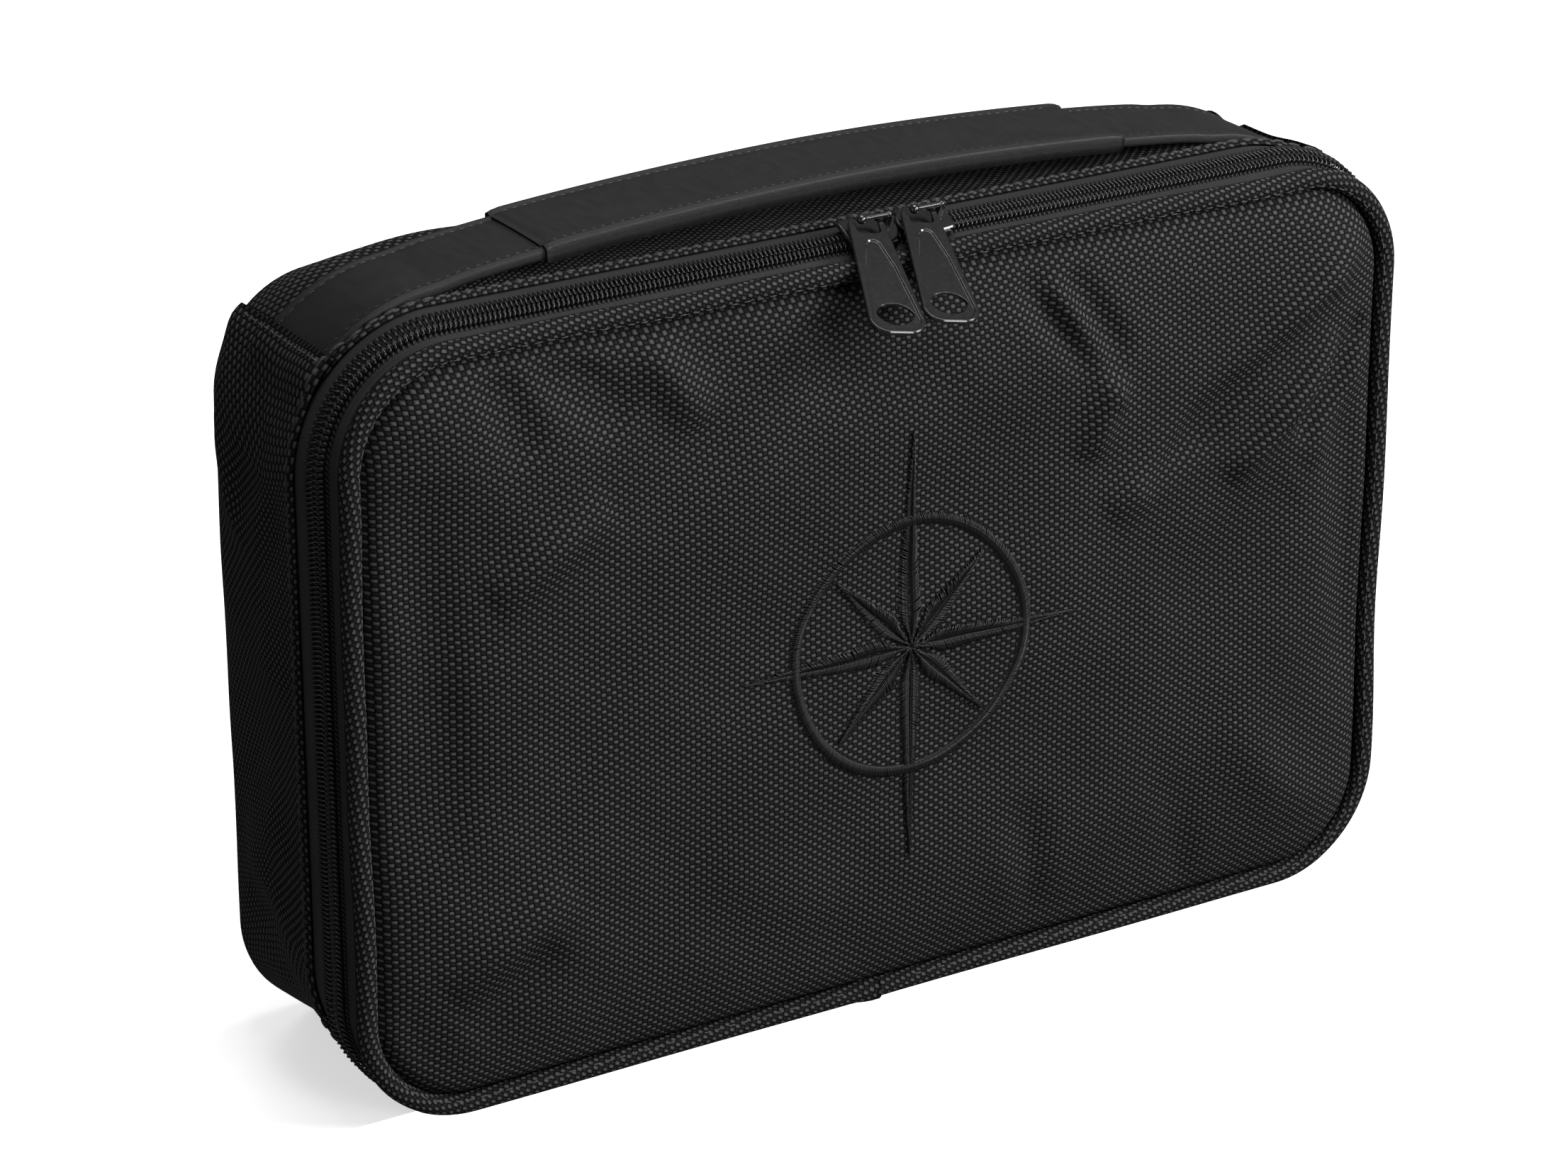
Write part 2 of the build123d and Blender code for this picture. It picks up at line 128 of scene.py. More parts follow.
def fold(u, v, start, end, width, height):
    """Ridge along a line, or a valley where height is negative, fading out at both ends."""
    (u0, v0), (u1, v1) = start, end
    length = hypot(u1 - u0, v1 - v0)
    along = ((u - u0) * (u1 - u0) + (v - v0) * (v1 - v0)) / length**2
    across = ((u - u0) * (v1 - v0) - (v - v0) * (u1 - u0)) / length
    fade = np.clip(1 - (2 * along - 1) ** 2, 0, 1) ** 0.7
    return height * fade * np.exp(-((across / width) ** 2))


def billow(u, v, lump, seed):
    """Soft uneven heights, about -1 to 1, with lumps of about that size."""
    rng = np.random.default_rng(seed)
    total = np.zeros_like(u * 1.0)
    waves = 7
    for _ in range(waves):
        angle, phase = rng.uniform(0, 2 * pi, 2)
        k = 2 * pi / lump * rng.uniform(0.6, 1.5)
        total = total + np.sin(k * (u * cos(angle) + v * sin(angle)) + phase)
    return total / waves**0.5 / 1.4


def lumpy(u, v, layers):
    """Sum of billows. A layer is the size of its lumps in mm, its seed and its rise in mm."""
    return sum(billow(u, v, lump * MM, seed) * rise * MM for lump, seed, rise in layers)


def hump(at, centre, width):
    """1 at the centre, fading to 0 on both sides."""
    return np.exp(-(((at - centre) / width) ** 2))


def new_mesh(name, points, faces, cloth):
    """Mesh object whose points also hold their place on the flat cut, in metres."""
    mesh = bpy.data.meshes.new(name)
    mesh.from_pydata(np.reshape(points, (-1, 3)).tolist(), [], faces)
    flat = np.zeros((len(mesh.vertices), 3), np.float32)
    flat[:, :2] = np.reshape(cloth, (-1, 2))
    mesh.attributes.new("cloth", "FLOAT_VECTOR", "POINT").data.foreach_set("vector", flat.ravel())
    mesh.shade_smooth()
    obj = bpy.data.objects.new(name, mesh)
    bpy.context.scene.collection.objects.link(obj)
    return obj


def grid_faces(rows, cols, close_rows=False, close_cols=False, first=0):
    index = np.arange(rows * cols).reshape(rows, cols) + first
    if close_rows:
        index = np.vstack([index, index[:1]])
    if close_cols:
        index = np.hstack([index, index[:, :1]])
    quads = np.stack([index[:-1, :-1], index[:-1, 1:], index[1:, 1:], index[1:, :-1]], -1)
    return quads.reshape(-1, 4).tolist()


def tube_faces(rows, cols, first=0):
    """Faces of a tube of rows of points, with a cap at both ends."""
    last = first + (rows - 1) * cols
    caps = [list(range(first, first + cols)), list(range(last, last + cols))[::-1]]
    return grid_faces(rows, cols, close_cols=True, first=first) + caps


def thicken(obj, depth):
    """Gives a sheet of cloth its thickness, behind the face that shows."""
    cloth = obj.modifiers.new("cloth_thickness", "SOLIDIFY")
    cloth.thickness, cloth.offset = depth, -1


def dress(obj, material, body, slot, *nodes, fill=None):
    """Gives a piece its material and its body, and hides the CAD nodes that it stands for. The slot is not
    used.
    """
    obj.data.materials.append(material)
    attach(obj, body)
    if nodes:
        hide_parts(*nodes)
    return obj


class Wire:
    """One socket of a material. Sums on wires add the nodes that work them out."""

    def __init__(self, tree, socket=None):
        self.tree, self.socket = tree, socket

    def node(self, kind, settings=None, inputs=None, output=0):
        made = self.tree.nodes.new("ShaderNode" + kind)
        for key, value in (settings or {}).items():
            setattr(made, key, value)
        for key, value in (inputs or {}).items():
            if isinstance(value, Wire):
                self.tree.links.new(value.socket, made.inputs[key])
            else:
                made.inputs[key].default_value = value
        return Wire(self.tree, made.outputs[output])

    def maths(self, operation, *others):
        return self.node("Math", {"operation": operation}, dict(enumerate((self, *others))))

    def __add__(self, other):
        return self.maths("ADD", other)

    def __sub__(self, other):
        return self.maths("SUBTRACT", other)

    def __rsub__(self, other):
        return self.node("Math", {"operation": "SUBTRACT"}, {0: other, 1: self})

    def __mul__(self, other):
        return self.maths("MULTIPLY", other)

    def __truediv__(self, other):
        return self.maths("DIVIDE", other)

    __radd__, __rmul__ = __add__, __mul__

    def clamp(self):
        return self.maths("MAXIMUM", 0.0).maths("MINIMUM", 1.0)

    def noise(self, vector, scale, detail=2.0):
        return self.node("TexNoise", {}, {"Vector": vector, "Scale": scale, "Detail": detail})

    def between(self, dark, light):
        """Colour that goes from dark to light as this wire goes from 0 to 1."""
        return self.node("Mix", {"data_type": "RGBA"}, {"Factor": self, 6: dark, 7: light}, 2)


def grey(value):
    return (value, value, value, 1)


def cloth_places(tree):
    """Place on the flat cut, as a vector and as its two lengths in metres."""
    flat = Wire(tree).node("Attribute", {"attribute_name": "cloth"}, output=1)
    u = flat.node("SeparateXYZ", {}, {0: flat})
    return flat, u, Wire(tree, u.socket.node.outputs[1])


def ripple(at, pitch):
    """Wave from 0 to 1 that repeats at a pitch."""
    return (at * (2 * pi / pitch)).maths("SINE") * 0.5 + 0.5


def finished(material, wires, constants):
    """Links wires to the shader's sockets, and sets the values that are the same all over."""
    tree = material.node_tree
    shader = tree.nodes["Principled BSDF"]
    for name, wire in wires.items():
        tree.links.new(wire.socket, shader.inputs[name])
    for name, value in constants.items():
        shader.inputs[name].default_value = value
    return material


def new_material(name):
    material = bpy.data.materials.new(name)
    material.use_nodes = True
    return material


FLOAT_X = 2.85 * MM
FLOAT_Z = 2.1 * MM
DRIFT_X, DRIFT_Z = 0.5 * MM, 0.35 * MM
NYLON_RELIEF = 0.42 * MM
# Colour in the dips and colour on the float tops: the black nylon darkened by painted shade, and a painted
# highlight.
NYLON_BLACK_IN_SHADE, NYLON_HIGHLIGHT = 0.002, 0.084
FIBRES = (400.0, 5200.0, 1.0)


def ballistic_nylon(name, turn=0.0):
    """Coarse basket weave: shiny weft floats side by side, with the dark warp between them. The float tops
    carry a painted highlight of their gloss, and the dips between them carry painted shade over the black
    nylon's own colour.
    """
    material = new_material(name)
    flat, u, v = cloth_places(material.node_tree)
    if turn:
        u, v = u * cos(turn) - v * sin(turn), u * sin(turn) + v * cos(turn)
    u = u + (flat.noise(flat, 90.0) - 0.5) * DRIFT_X
    v = v + (flat.noise(flat, 140.0) - 0.5) * DRIFT_Z
    product = (u * (2 * pi / FLOAT_X)).maths("COSINE") * (v * (2 * pi / FLOAT_Z)).maths("COSINE")
    weft = product.maths("MAXIMUM", 0.0).maths("POWER", 0.55)
    warp = (product * -1.0).maths("MAXIMUM", 0.0).maths("POWER", 0.8)
    stretched = flat.node("VectorMath", {"operation": "MULTIPLY"}, {0: flat, 1: FIBRES})
    fibres = flat.noise(stretched, 1.0, 1.0)
    wear = flat.noise(flat, 24.0, 3.0)
    # Painted light: the weft tops are painted lighter as a painted highlight, and the warp dips are
    # painted darker as painted shade on the black nylon.
    shade = (weft * (0.55 + fibres * 0.75) + warp * 0.16) * (0.72 + wear * 0.5)
    height = weft + warp * 0.45 + fibres * 0.12
    bump = flat.node("Bump", {}, {"Strength": 1.0, "Distance": NYLON_RELIEF, "Height": height})
    colour = shade.clamp().between(grey(NYLON_BLACK_IN_SHADE), grey(NYLON_HIGHLIGHT))
    return finished(material, {"Base Color": colour, "Roughness": 0.78 - weft * 0.26, "Normal": bump},
                    {"Specular IOR Level": 0.04})


nylon = ballistic_nylon("ballistic_nylon")

NYLON_T = 1.2 * MM
PANEL_Y = LOOP_Y - NYLON_T
PANEL_FRONT, PANEL_BACK = [corner.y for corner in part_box("front_panel")]
CROWN_EXTRA = 0.8 * MM
CROWN_RISE = PANEL_BACK - PANEL_FRONT + CROWN_EXTRA
CROWN_RUN, CROWN_POWER = 46 * MM, 2.4
SEAM_DIP, SEAM_WIDTH = 3.4 * MM, 2.6 * MM
SEAM_HOLDS = 9 * MM
FRONT_INSET, FRONT_STEP = PIPING_R * 0.55, 1.6 * MM
EDGE_SHARE = 0.45
FRONT_LUMPS = ((64, 5, 1.1), (26, 8, 0.28))
FOLD_DEPTH = 3.1
DENT_LIMIT = 2.9 * MM
# Each fold: its two ends (x, z), its width and its height, in mm. Heights are scaled by FOLD_DEPTH.
FRONT_FOLDS = [
    ((126, 169), (66, 126), 4.2, -2.1), ((138, 184), (88, 140), 5.5, 1.9),
    ((129, 156), (94, 124), 4.0, 2.0), ((139, 158), (116, 130), 2.6, -1.8),
    ((142, 150), (119, 122), 4.0, 0.9), ((33, 186), (58, 156), 4.0, -1.5),
    ((47, 186), (62, 162), 3.5, -1.2), ((40, 186), (60, 150), 3.5, 1.4),
    ((58, 159), (50, 138), 4.5, 1.2), ((57, 122), (84, 138), 6.0, 1.3),
    ((116, 116), (74, 90), 9.0, -0.8), ((33, 50), (40, 12), 5.0, -0.7),
    ((80, 44), (87, 8), 5.0, -0.6), ((96, 60), (120, 20), 8.0, 0.7),
    ((-124, 24), (-100, 44), 6.0, -0.9), ((-128, 36), (-96, 58), 7.0, 0.8),
    ((-100, 194), (-78, 172), 5.0, -2.0), ((-112, 192), (-104, 168), 5.0, -1.5),
    ((-72, 192), (-58, 168), 6.0, 1.5), ((-116, 136), (-84, 154), 6.0, 1.2),
    ((-132, 168), (-128, 70), 6.0, -0.8), ((130, 150), (138, 60), 6.0, -1.1),
    ((-60, 60), (-20, 30), 10.0, 0.5), ((-30, 176), (16, 168), 8.0, -0.6),
]


def pressed(height, limit):
    """Height whose dents level off at a depth, so that cloth stays outside its padding."""
    return np.where(height < 0, -limit * np.tanh(-height / limit), height)


def panel_grid(inset, step):
    """x and z of points inside the piping loop, closer near the edge, and how far in they are."""
    half, low, high = LOOP_HALF - inset, LOOP_LOW + inset, LOOP_TOP - inset
    radius = LOOP_R - inset
    count = int(2 * half / step)
    x = -half * np.cos(np.linspace(0, pi, count))
    x = EDGE_SHARE * x + (1 - EDGE_SHARE) * np.linspace(-half, half, count)
    bend = np.clip((np.abs(x) - half + radius) / radius, 0, 1)
    drop = radius * (1 - np.sqrt(1 - bend**2))
    share = np.linspace(0, pi, int((high - low) / step))
    share = EDGE_SHARE * (0.5 - 0.5 * np.cos(share)) + (1 - EDGE_SHARE) * share / pi
    z = (low + drop)[:, None] + (high - low - 2 * drop)[:, None] * share[None, :]
    x = np.repeat(x[:, None], len(share), 1)
    from_middle, half_high = np.abs(z - (low + high) / 2), (high - low) / 2
    away_x = np.maximum(np.abs(x) - half + radius, 0)
    away_z = np.maximum(from_middle - half_high + radius, 0)
    corner = radius - np.hypot(away_x, away_z)
    straight = np.minimum(half - np.abs(x), half_high - from_middle)
    edge = np.where((away_x > 0) & (away_z > 0), corner, straight)
    return x, z, np.maximum(edge, 0)


def lid_crown(edge):
    """Rise of the padded lid at a distance from its edge."""
    t = np.clip(edge / CROWN_RUN, 0, 1)
    return CROWN_RISE * (1 - (1 - t) ** CROWN_POWER)


def front_height(x, z, edge):
    """How far the front stands out, with its seam turned in at the edge and its folds."""
    turned = SEAM_DIP * hump(edge, 0, SEAM_WIDTH)
    held = np.clip(edge / SEAM_HOLDS, 0, 1)
    soft = lumpy(x, z, FRONT_LUMPS)
    for start, end, width, height in FRONT_FOLDS:
        points = [(a * MM, b * MM) for a, b in (start, end)]
        soft = soft + fold(x, z, *points, width * MM, height * FOLD_DEPTH * MM)
    return lid_crown(edge) - turned + pressed(soft, DENT_LIMIT) * held


def panel(name, x, y, z, depth, faces_back=False):
    """Sheet of cloth over a grid of points, cut flat in the plane of the bag's front."""
    faces = grid_faces(*x.shape)
    if not faces_back:
        faces = [face[::-1] for face in faces]
    sheet = new_mesh(name, np.stack([x, y, z], -1), faces, np.stack([x, z], -1))
    thicken(sheet, depth)
    return sheet


front_x, front_z, front_edge = panel_grid(FRONT_INSET, FRONT_STEP)
front_y = PANEL_Y - front_height(front_x, front_z, front_edge)
front = panel("front_cloth", front_x, front_y, front_z, NYLON_T)
dress(front, nylon, "lid", "nylon", "front_panel", "front_foam", fill=0.6)

# ---- embroidered star ------------------------------------------------------------------------
# An eight-pointed compass star and a ring, satin-stitched in black rayon thread. Each half of
# each point is its own run of stitches, laid from the spine of the point out to its edge.

THREAD_TAPER = 0.35
THREAD_TWIST = 0.9 * MM
PLY_SLANT = 9000 * THREAD_TWIST / (2 * pi)
TINY = 1e-12
STITCH_POINTS = 6


def threads(name, lines, radius, up, sides=5):
    """Many round threads in one mesh. lines is threads by points by xyz; up is what faces out."""
    lines = np.asarray(lines, float)
    count, along = lines.shape[:2]
    ahead = np.gradient(lines, axis=1)
    ahead /= np.linalg.norm(ahead, axis=2, keepdims=True) + TINY
    beside = np.cross(ahead, np.broadcast_to(up, lines.shape))
    beside /= np.linalg.norm(beside, axis=2, keepdims=True) + TINY
    over = np.cross(beside, ahead)
    turn = np.arange(sides) * 2 * pi / sides
    size = np.full(along, 1.0)
    size[[0, -1]] = THREAD_TAPER
    spread = (beside[:, :, None] * np.cos(turn)[:, None] + over[:, :, None] * np.sin(turn)[:, None])
    points = lines[:, :, None] + spread * (radius * size)[None, :, None, None]
    run = np.cumsum(np.linalg.norm(np.diff(lines, axis=1, prepend=lines[:, :1]), axis=2), 1)
    cloth = np.stack([np.repeat(run[:, :, None], sides, 2),
                      np.broadcast_to(turn * radius, points.shape[:3])], -1)
    faces = [face for i in range(count) for face in tube_faces(along, sides, i * along * sides)]
    return new_mesh(name, points, faces, cloth)


def thread_material(name, dark, light, roughness=0.5):
    """Twisted thread: fine plies that run round it, a little uneven in tone."""
    material = new_material(name)
    flat, u, v = cloth_places(material.node_tree)
    plies = ripple(u + v * PLY_SLANT, THREAD_TWIST)
    shade = (plies * 0.6 + flat.noise(flat, 300.0) * 0.5).clamp()
    bump = flat.node("Bump", {}, {"Strength": 0.6, "Distance": 0.06 * MM, "Height": plies})
    return finished(material, {"Base Color": shade.between(grey(dark), grey(light)), "Normal": bump},
                    {"Roughness": roughness, "Specular IOR Level": 0.25})


embroidery_thread = thread_material("embroidery_thread", 0.003, 0.012, 0.42)
star_low, star_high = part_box("embroidery")
STAR_X = (star_low.x + star_high.x) / 2
STAR_Z = (star_low.z + star_high.z) / 2
STAR_REACH = (star_high.x - star_low.x) / 2
STAR_TALL = (star_high.z - star_low.z) / 2 / STAR_REACH
STAR_ARMS = (1.0, 0.2, 0.62, 0.2)
STAR_CORNERS = 16
RING_OUT, RING_IN = 0.75 * STAR_REACH, 0.68 * STAR_REACH
STITCH_STEP = 0.42 * MM
STITCH_R = 0.24 * MM
STITCH_SUNK = 0.12 * MM
STAR_RISE, STAR_SLANT, STAR_STRAY = 0.75 * MM, 1.6 * MM, 0.18 * MM
RING_RISE, RING_SLANT, RING_STRAY = 0.9 * MM, 0.03, 0.12 * MM


def front_surface(x, z):
    """Depth of the front cloth under a point well inside its edge."""
    half_x = LOOP_HALF - FRONT_INSET
    half_z = (LOOP_TOP - LOOP_LOW) / 2 - FRONT_INSET
    edge = np.minimum(half_x - np.abs(x), half_z - np.abs(z - (LOOP_TOP + LOOP_LOW) / 2))
    return PANEL_Y - front_height(x, z, edge)


def arched(share):
    """Half circle over a share from 0 to 1."""
    return np.sqrt(np.clip(1 - (2 * share - 1) ** 2, 0, 1))


def satin(starts, ends, rise):
    """Stitches from starts to ends, which dive into the cloth at both ends."""
    share = np.linspace(0, 1, STITCH_POINTS)
    x = starts[:, None, 0] + (ends - starts)[:, None, 0] * share
    z = starts[:, None, 1] + (ends - starts)[:, None, 1] * share
    lift = rise * arched(share) - STITCH_SUNK
    return np.stack([x, front_surface(x, z) - lift, z], -1)


def star_corner(i):
    """Corner of the star: a point or a notch, counted clockwise from the top."""
    upright = i % (STAR_CORNERS // 2) == 0
    reach = STAR_REACH * STAR_ARMS[i % len(STAR_ARMS)] * (STAR_TALL if upright else 1)
    turn = pi / 2 - 2 * pi * i / STAR_CORNERS
    return np.array([STAR_X + reach * cos(turn), STAR_Z + reach * sin(turn)])


star_lines = []
star_rng = np.random.default_rng(11)
centre = np.array([STAR_X, STAR_Z])
for arm in range(0, STAR_CORNERS, 2):
    tip = star_corner(arm)
    for side in (-1, 1):
        notch = star_corner((arm + side) % STAR_CORNERS)
        length = np.linalg.norm(tip - centre)
        count = int(length / STITCH_STEP)
        share = (np.arange(count) + 0.5) / count
        spine = centre + (tip - centre) * share[:, None]
        turn = np.dot(notch - centre, tip - centre) / length**2
        inner = centre + (notch - centre) * np.clip(share / turn, 0, 1)[:, None]
        outer = notch + (tip - notch) * np.clip((share - turn) / (1 - turn), 0, 1)[:, None]
        edge = np.where((share < turn)[:, None], inner, outer)
        slant = (tip - centre) / length * STAR_SLANT
        edge = edge + slant + star_rng.normal(0, STAR_STRAY, edge.shape)
        star_lines.append(satin(spine, edge, STAR_RISE))
star = threads("star_threads", np.concatenate(star_lines), STITCH_R, (0, -1, 0))
dress(star, embroidery_thread, "lid", "thread", "embroidery")

def on_ring(turn, reach):
    return np.stack([STAR_X + reach * np.cos(turn), STAR_Z + reach * np.sin(turn)], -1)


ring_count = int(2 * pi * RING_OUT / STITCH_STEP)
ring_turn = np.arange(ring_count) * 2 * pi / ring_count
ring_outer = on_ring(ring_turn + RING_SLANT, RING_OUT)
ring_outer = ring_outer + star_rng.normal(0, RING_STRAY, ring_outer.shape)
ring = threads("ring_threads", satin(on_ring(ring_turn, RING_IN), ring_outer, RING_RISE), STITCH_R,
               (0, -1, 0))
dress(ring, embroidery_thread, "lid", "thread")

# ---- piping ----------------------------------------------------------------------------------
# A cord in a sleeve of the same nylon, sewn between the front and the zip tape. The sleeve
# starts and ends in a lap at the bottom, and a row of stitches runs along its inner shoulder.

PIPING_LAP = 5 * MM
piping_nylon = ballistic_nylon("piping_nylon", turn=radians(24))


def piping_line(place):
    """Centre of the piping, with the small waves that the sewing leaves in it."""
    x, z, nx, nz = loop_at(place, LOOP_HALF, LOOP_LOW, LOOP_TOP, LOOP_R)
    length = travel(place)
    wave = 0.22 * np.sin(length / 0.021) + 0.14 * np.sin(length / 0.0087 + 1)
    right = hump(place, 2.6, 0.5)
    wave = (wave + 0.5 * right * np.sin(length / 0.012)) * MM
    wave = np.where(z < LOOP_LOW + 4 * MM, 0, wave)
    depth = LOOP_Y + 0.12 * MM * np.sin(length / 0.015)
    return x + nx * wave, z + nz * wave, nx, nz, depth


SIDES = len(SIDE_LENGTHS)
PIPING_STEP = 2.2 * MM
PIPING_SIDES = 20
LAP_THICK = 0.55 * MM
lap_share = PIPING_LAP / SIDE_LENGTHS[-1]
piping_places = places(0.0, SIDES, PIPING_STEP)
piping_places = np.concatenate([[SIDES - lap_share, SIDES - lap_share / 2],
                                piping_places[piping_places < SIDES - 2.4 * lap_share],
                                np.linspace(SIDES - 2.2 * lap_share, SIDES - 0.9 * lap_share, 4)])
px, pz, pnx, pnz, py = piping_line(piping_places)
piping_turn = np.arange(PIPING_SIDES) * 2 * pi / PIPING_SIDES
piping_size = np.full(len(piping_places), PIPING_R - 0.05 * MM)
piping_size[-4:] = PIPING_R + LAP_THICK * np.array([0.0, 0.7, 1.0, 1.0])
piping_run = travel(piping_places)
piping_run[:2] -= SIDE_STARTS[-1]
out = np.cos(piping_turn)[None] * piping_size[:, None]
fore = np.sin(piping_turn)[None] * piping_size[:, None]
piping_points = np.stack([px[:, None] + pnx[:, None] * out, py[:, None] - fore,
                          np.maximum(pz[:, None] + pnz[:, None] * out, 0)], -1)
piping_cloth = np.stack([np.repeat(piping_run[:, None], PIPING_SIDES, 1),
                         np.repeat(piping_turn[None] * PIPING_R, len(piping_run), 0)], -1)
piping_faces = tube_faces(len(piping_places), PIPING_SIDES)
piping = new_mesh("piping_sleeve", piping_points, piping_faces, piping_cloth)
dress(piping, piping_nylon, "lid", "piping", "piping_cover", "piping_cord")

sewing_thread = thread_material("sewing_thread", 0.03, 0.09, 0.55)


def stitch_lines(place_of, total, length, gap, sink, start=0.0):
    """Stitches along a line, sunk at both ends, and which way each faces.

    place_of gives xyz and the outward direction after a length along the line. The stitches are
    of one length, with a gap between them, from start to total.
    """
    count = int((total - start) / (length + gap))
    begin = start + np.arange(count) * (length + gap)
    share = np.linspace(0, 1, STITCH_POINTS)
    at = begin[:, None] + share[None] * length
    points, facing = place_of(at)
    return points + facing * (sink * (arched(share) - 1))[None, :, None], facing


def on_loop(length):
    """Place after a length, kept just short of the loop's end."""
    return place_at(np.clip(length, 0, SIDE_STARTS[-1] - 0.001 * MM))


def on_piping(angle, stand):
    """Line along the piping at an angle from its outer side towards its front."""
    def at(length):
        x, z, nx, nz, y = piping_line(on_loop(length))
        reach = PIPING_R + stand
        facing = np.stack([nx * cos(angle), np.full_like(x, -sin(angle)), nz * cos(angle)], -1)
        return np.stack([x, y, z], -1) + facing * reach, facing
    return at


piping_lines, piping_up = stitch_lines(on_piping(radians(128), 0.0), SIDE_STARTS[-1] - 12 * MM,
                                       2.3 * MM, 1.2 * MM, 0.3 * MM, 6 * MM)
piping_stitches = threads("piping_stitches", piping_lines, 0.2 * MM, piping_up)
dress(piping_stitches, sewing_thread, "lid", "thread")

# ---- zip tapes -------------------------------------------------------------------------------
# Two herringbone polyester tapes. The lid's runs from the chain to the piping seam and turns
# in; the case's runs under the folded edge of the gusset.

# Stations of the case's wall: depth, how far its sides and its top stand beyond the piping loop,
# its lowest height and its corner radius, in mm.
SKIN = np.array([(-33.0, 0.3, 0.4, 2.65, 27.4), (-20.5, 2.957, 3.057, 1.2, 34.7),
                 (4.0, 2.957, 3.057, 1.2, 42.0), (35.3, -1.2, -1.2, 1.2, 26.2)]) * MM
SKIN_BLUR = np.array([-2.5, 0, 2.5]) * MM
FULL_CORNER, FULL_CORNER_AT, FULL_CORNER_WIDTH = 2.4 * MM, 3.45, 0.3


def skin(place, y, out):
    """Point of the case's wall at a place round it and a depth, standing out by a distance."""
    place, y, out = np.broadcast_arrays(place, y, out)
    side, top, low, radius = [np.mean([np.interp(y + d, SKIN[:, 0], SKIN[:, k]) for d in SKIN_BLUR], 0)
                              for k in (1, 2, 3, 4)]
    x, z, nx, nz = loop_at(place, LOOP_HALF + side + out, low - out, LOOP_TOP + top + out, radius + out)
    full = FULL_CORNER * hump(place, FULL_CORNER_AT, FULL_CORNER_WIDTH) * np.clip(
        (y - LOOP_Y - 3 * MM) / (8 * MM), 0, 1)
    return (np.stack([x + nx * full, y, z + nz * full], -1),
            np.stack([nx, np.zeros_like(nx), nz], -1))


def wall_strip(name, around, section, wave=None):
    """Strip of cloth round the case. Its section is a loop of depths and stand-outs, in mm."""
    section = np.asarray(section) * MM
    place, y, out = around[:, None], section[None, :, 0], section[None, :, 1]
    extra = 0 if wave is None else wave(place, y)
    points, _ = skin(place, y, out + extra)
    cloth = np.stack(np.broadcast_arrays(travel(around)[:, None], section[None, :, 0]), -1)
    if around[0] == 0 and around[-1] == SIDES:
        points, cloth = points[:-1], cloth[:-1]
        faces = grid_faces(*points.shape[:2], close_rows=True, close_cols=True)
    else:
        faces = tube_faces(*points.shape[:2])
    return new_mesh(name, points, faces, cloth)


def herringbone(name, dark, light):
    """Tape woven in fine chevrons, a pair of rows of slanting ribs."""
    material = new_material(name)
    flat, u, v = cloth_places(material.node_tree)
    chevron = (v / (3.0 * MM)).maths("PINGPONG", 0.5) * 2.0
    ribs = ripple(u + chevron * (1.5 * MM), 0.62 * MM)
    bump = flat.node("Bump", {}, {"Strength": 0.8, "Distance": 0.1 * MM, "Height": ribs})
    shade = (ribs * 0.55 + flat.noise(flat, 60.0, 3.0) * 0.6).clamp()
    return finished(material, {"Base Color": shade.between(grey(dark), grey(light)), "Normal": bump},
                    {"Roughness": 0.7, "Specular IOR Level": 0.25})


zip_tape = herringbone("zip_tape", 0.012, 0.032)
CHAIN_Y = (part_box("lid_zip_coil")[1].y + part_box("body_zip_coil")[0].y) / 2 / MM
TAPE_ENDS = (0.86, SIDES - 0.86)
around_tape = places(*TAPE_ENDS, 2.5 * MM)
lid_tape = wall_strip("lid_tape", around_tape, [
    (-33.9, -0.2), (-33.0, 0.25), (-31.5, 0.1), (-29, 0.0), (CHAIN_Y - 0.6, 0.0), (CHAIN_Y - 0.5, -0.3),
    (CHAIN_Y - 0.7, -0.8), (-29, -0.85), (-32.5, -0.9), (-34.0, -4.0), (-34.6, -6.5), (-35.2, -6.5),
    (-35.0, -3.0)])
dress(lid_tape, zip_tape, "lid", "zip_tape", "lid_zip_tape")
body_tape = wall_strip("body_tape", around_tape, [
    (CHAIN_Y + 0.5, -0.3), (CHAIN_Y + 0.6, 0.0), (-21, 0.0), (-17, -0.05), (-14.5, -0.1), (-11.6, -0.1),
    (-11.4, -0.5), (-11.8, -0.9), (-17, -0.9), (CHAIN_Y + 0.7, -0.8)])
dress(body_tape, zip_tape, "shell", "zip_tape", "body_zip_tape")

# ---- zip chain -------------------------------------------------------------------------------
# Two rows of polyester coil, each a flattened spiral sewn to its tape by a row of thread loops.

TOOTH = 1.3 * MM
COIL_POINTS = 12
COIL_WIRE = 0.33 * MM
# Middle and half width of a row beside the chain's middle, and its middle and half height.
COIL_BESIDE, COIL_WIDE, COIL_OVER, COIL_HIGH = 1.75, 1.55, 0.95, 0.7
ZIP_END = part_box("lid_zip_coil")[0].z


def coil_reach():
    """Lengths along the loop where the chain starts and ends, on the two upright sides."""
    samples = np.linspace(0, SIDE_STARTS[-1], 4000)
    points, _ = skin(place_at(samples), CHAIN_Y * MM, 0)
    up = samples[points[:, 2] > ZIP_END]
    return up[0], up[-1]


CHAIN_FROM, CHAIN_TO = coil_reach()


def coil_row(name, side):
    """Flattened spiral: its round heads meet the other row's at the middle of the chain."""
    turns = int((CHAIN_TO - CHAIN_FROM) / TOOTH)
    step = np.arange(turns * COIL_POINTS) / COIL_POINTS
    lead = 0.25 if side > 0 else 0.0
    swing = np.cos(step * 2 * pi)
    across = side * (COIL_BESIDE - COIL_WIDE * np.sign(swing) * np.abs(swing) ** 0.8)
    over = COIL_OVER + COIL_HIGH * np.sin(step * 2 * pi)
    place = on_loop(CHAIN_FROM + (step + lead) * TOOTH)
    points, facing = skin(place, (CHAIN_Y + across) * MM, over * MM)
    return threads(name, points[None], COIL_WIRE, facing[None], sides=6)


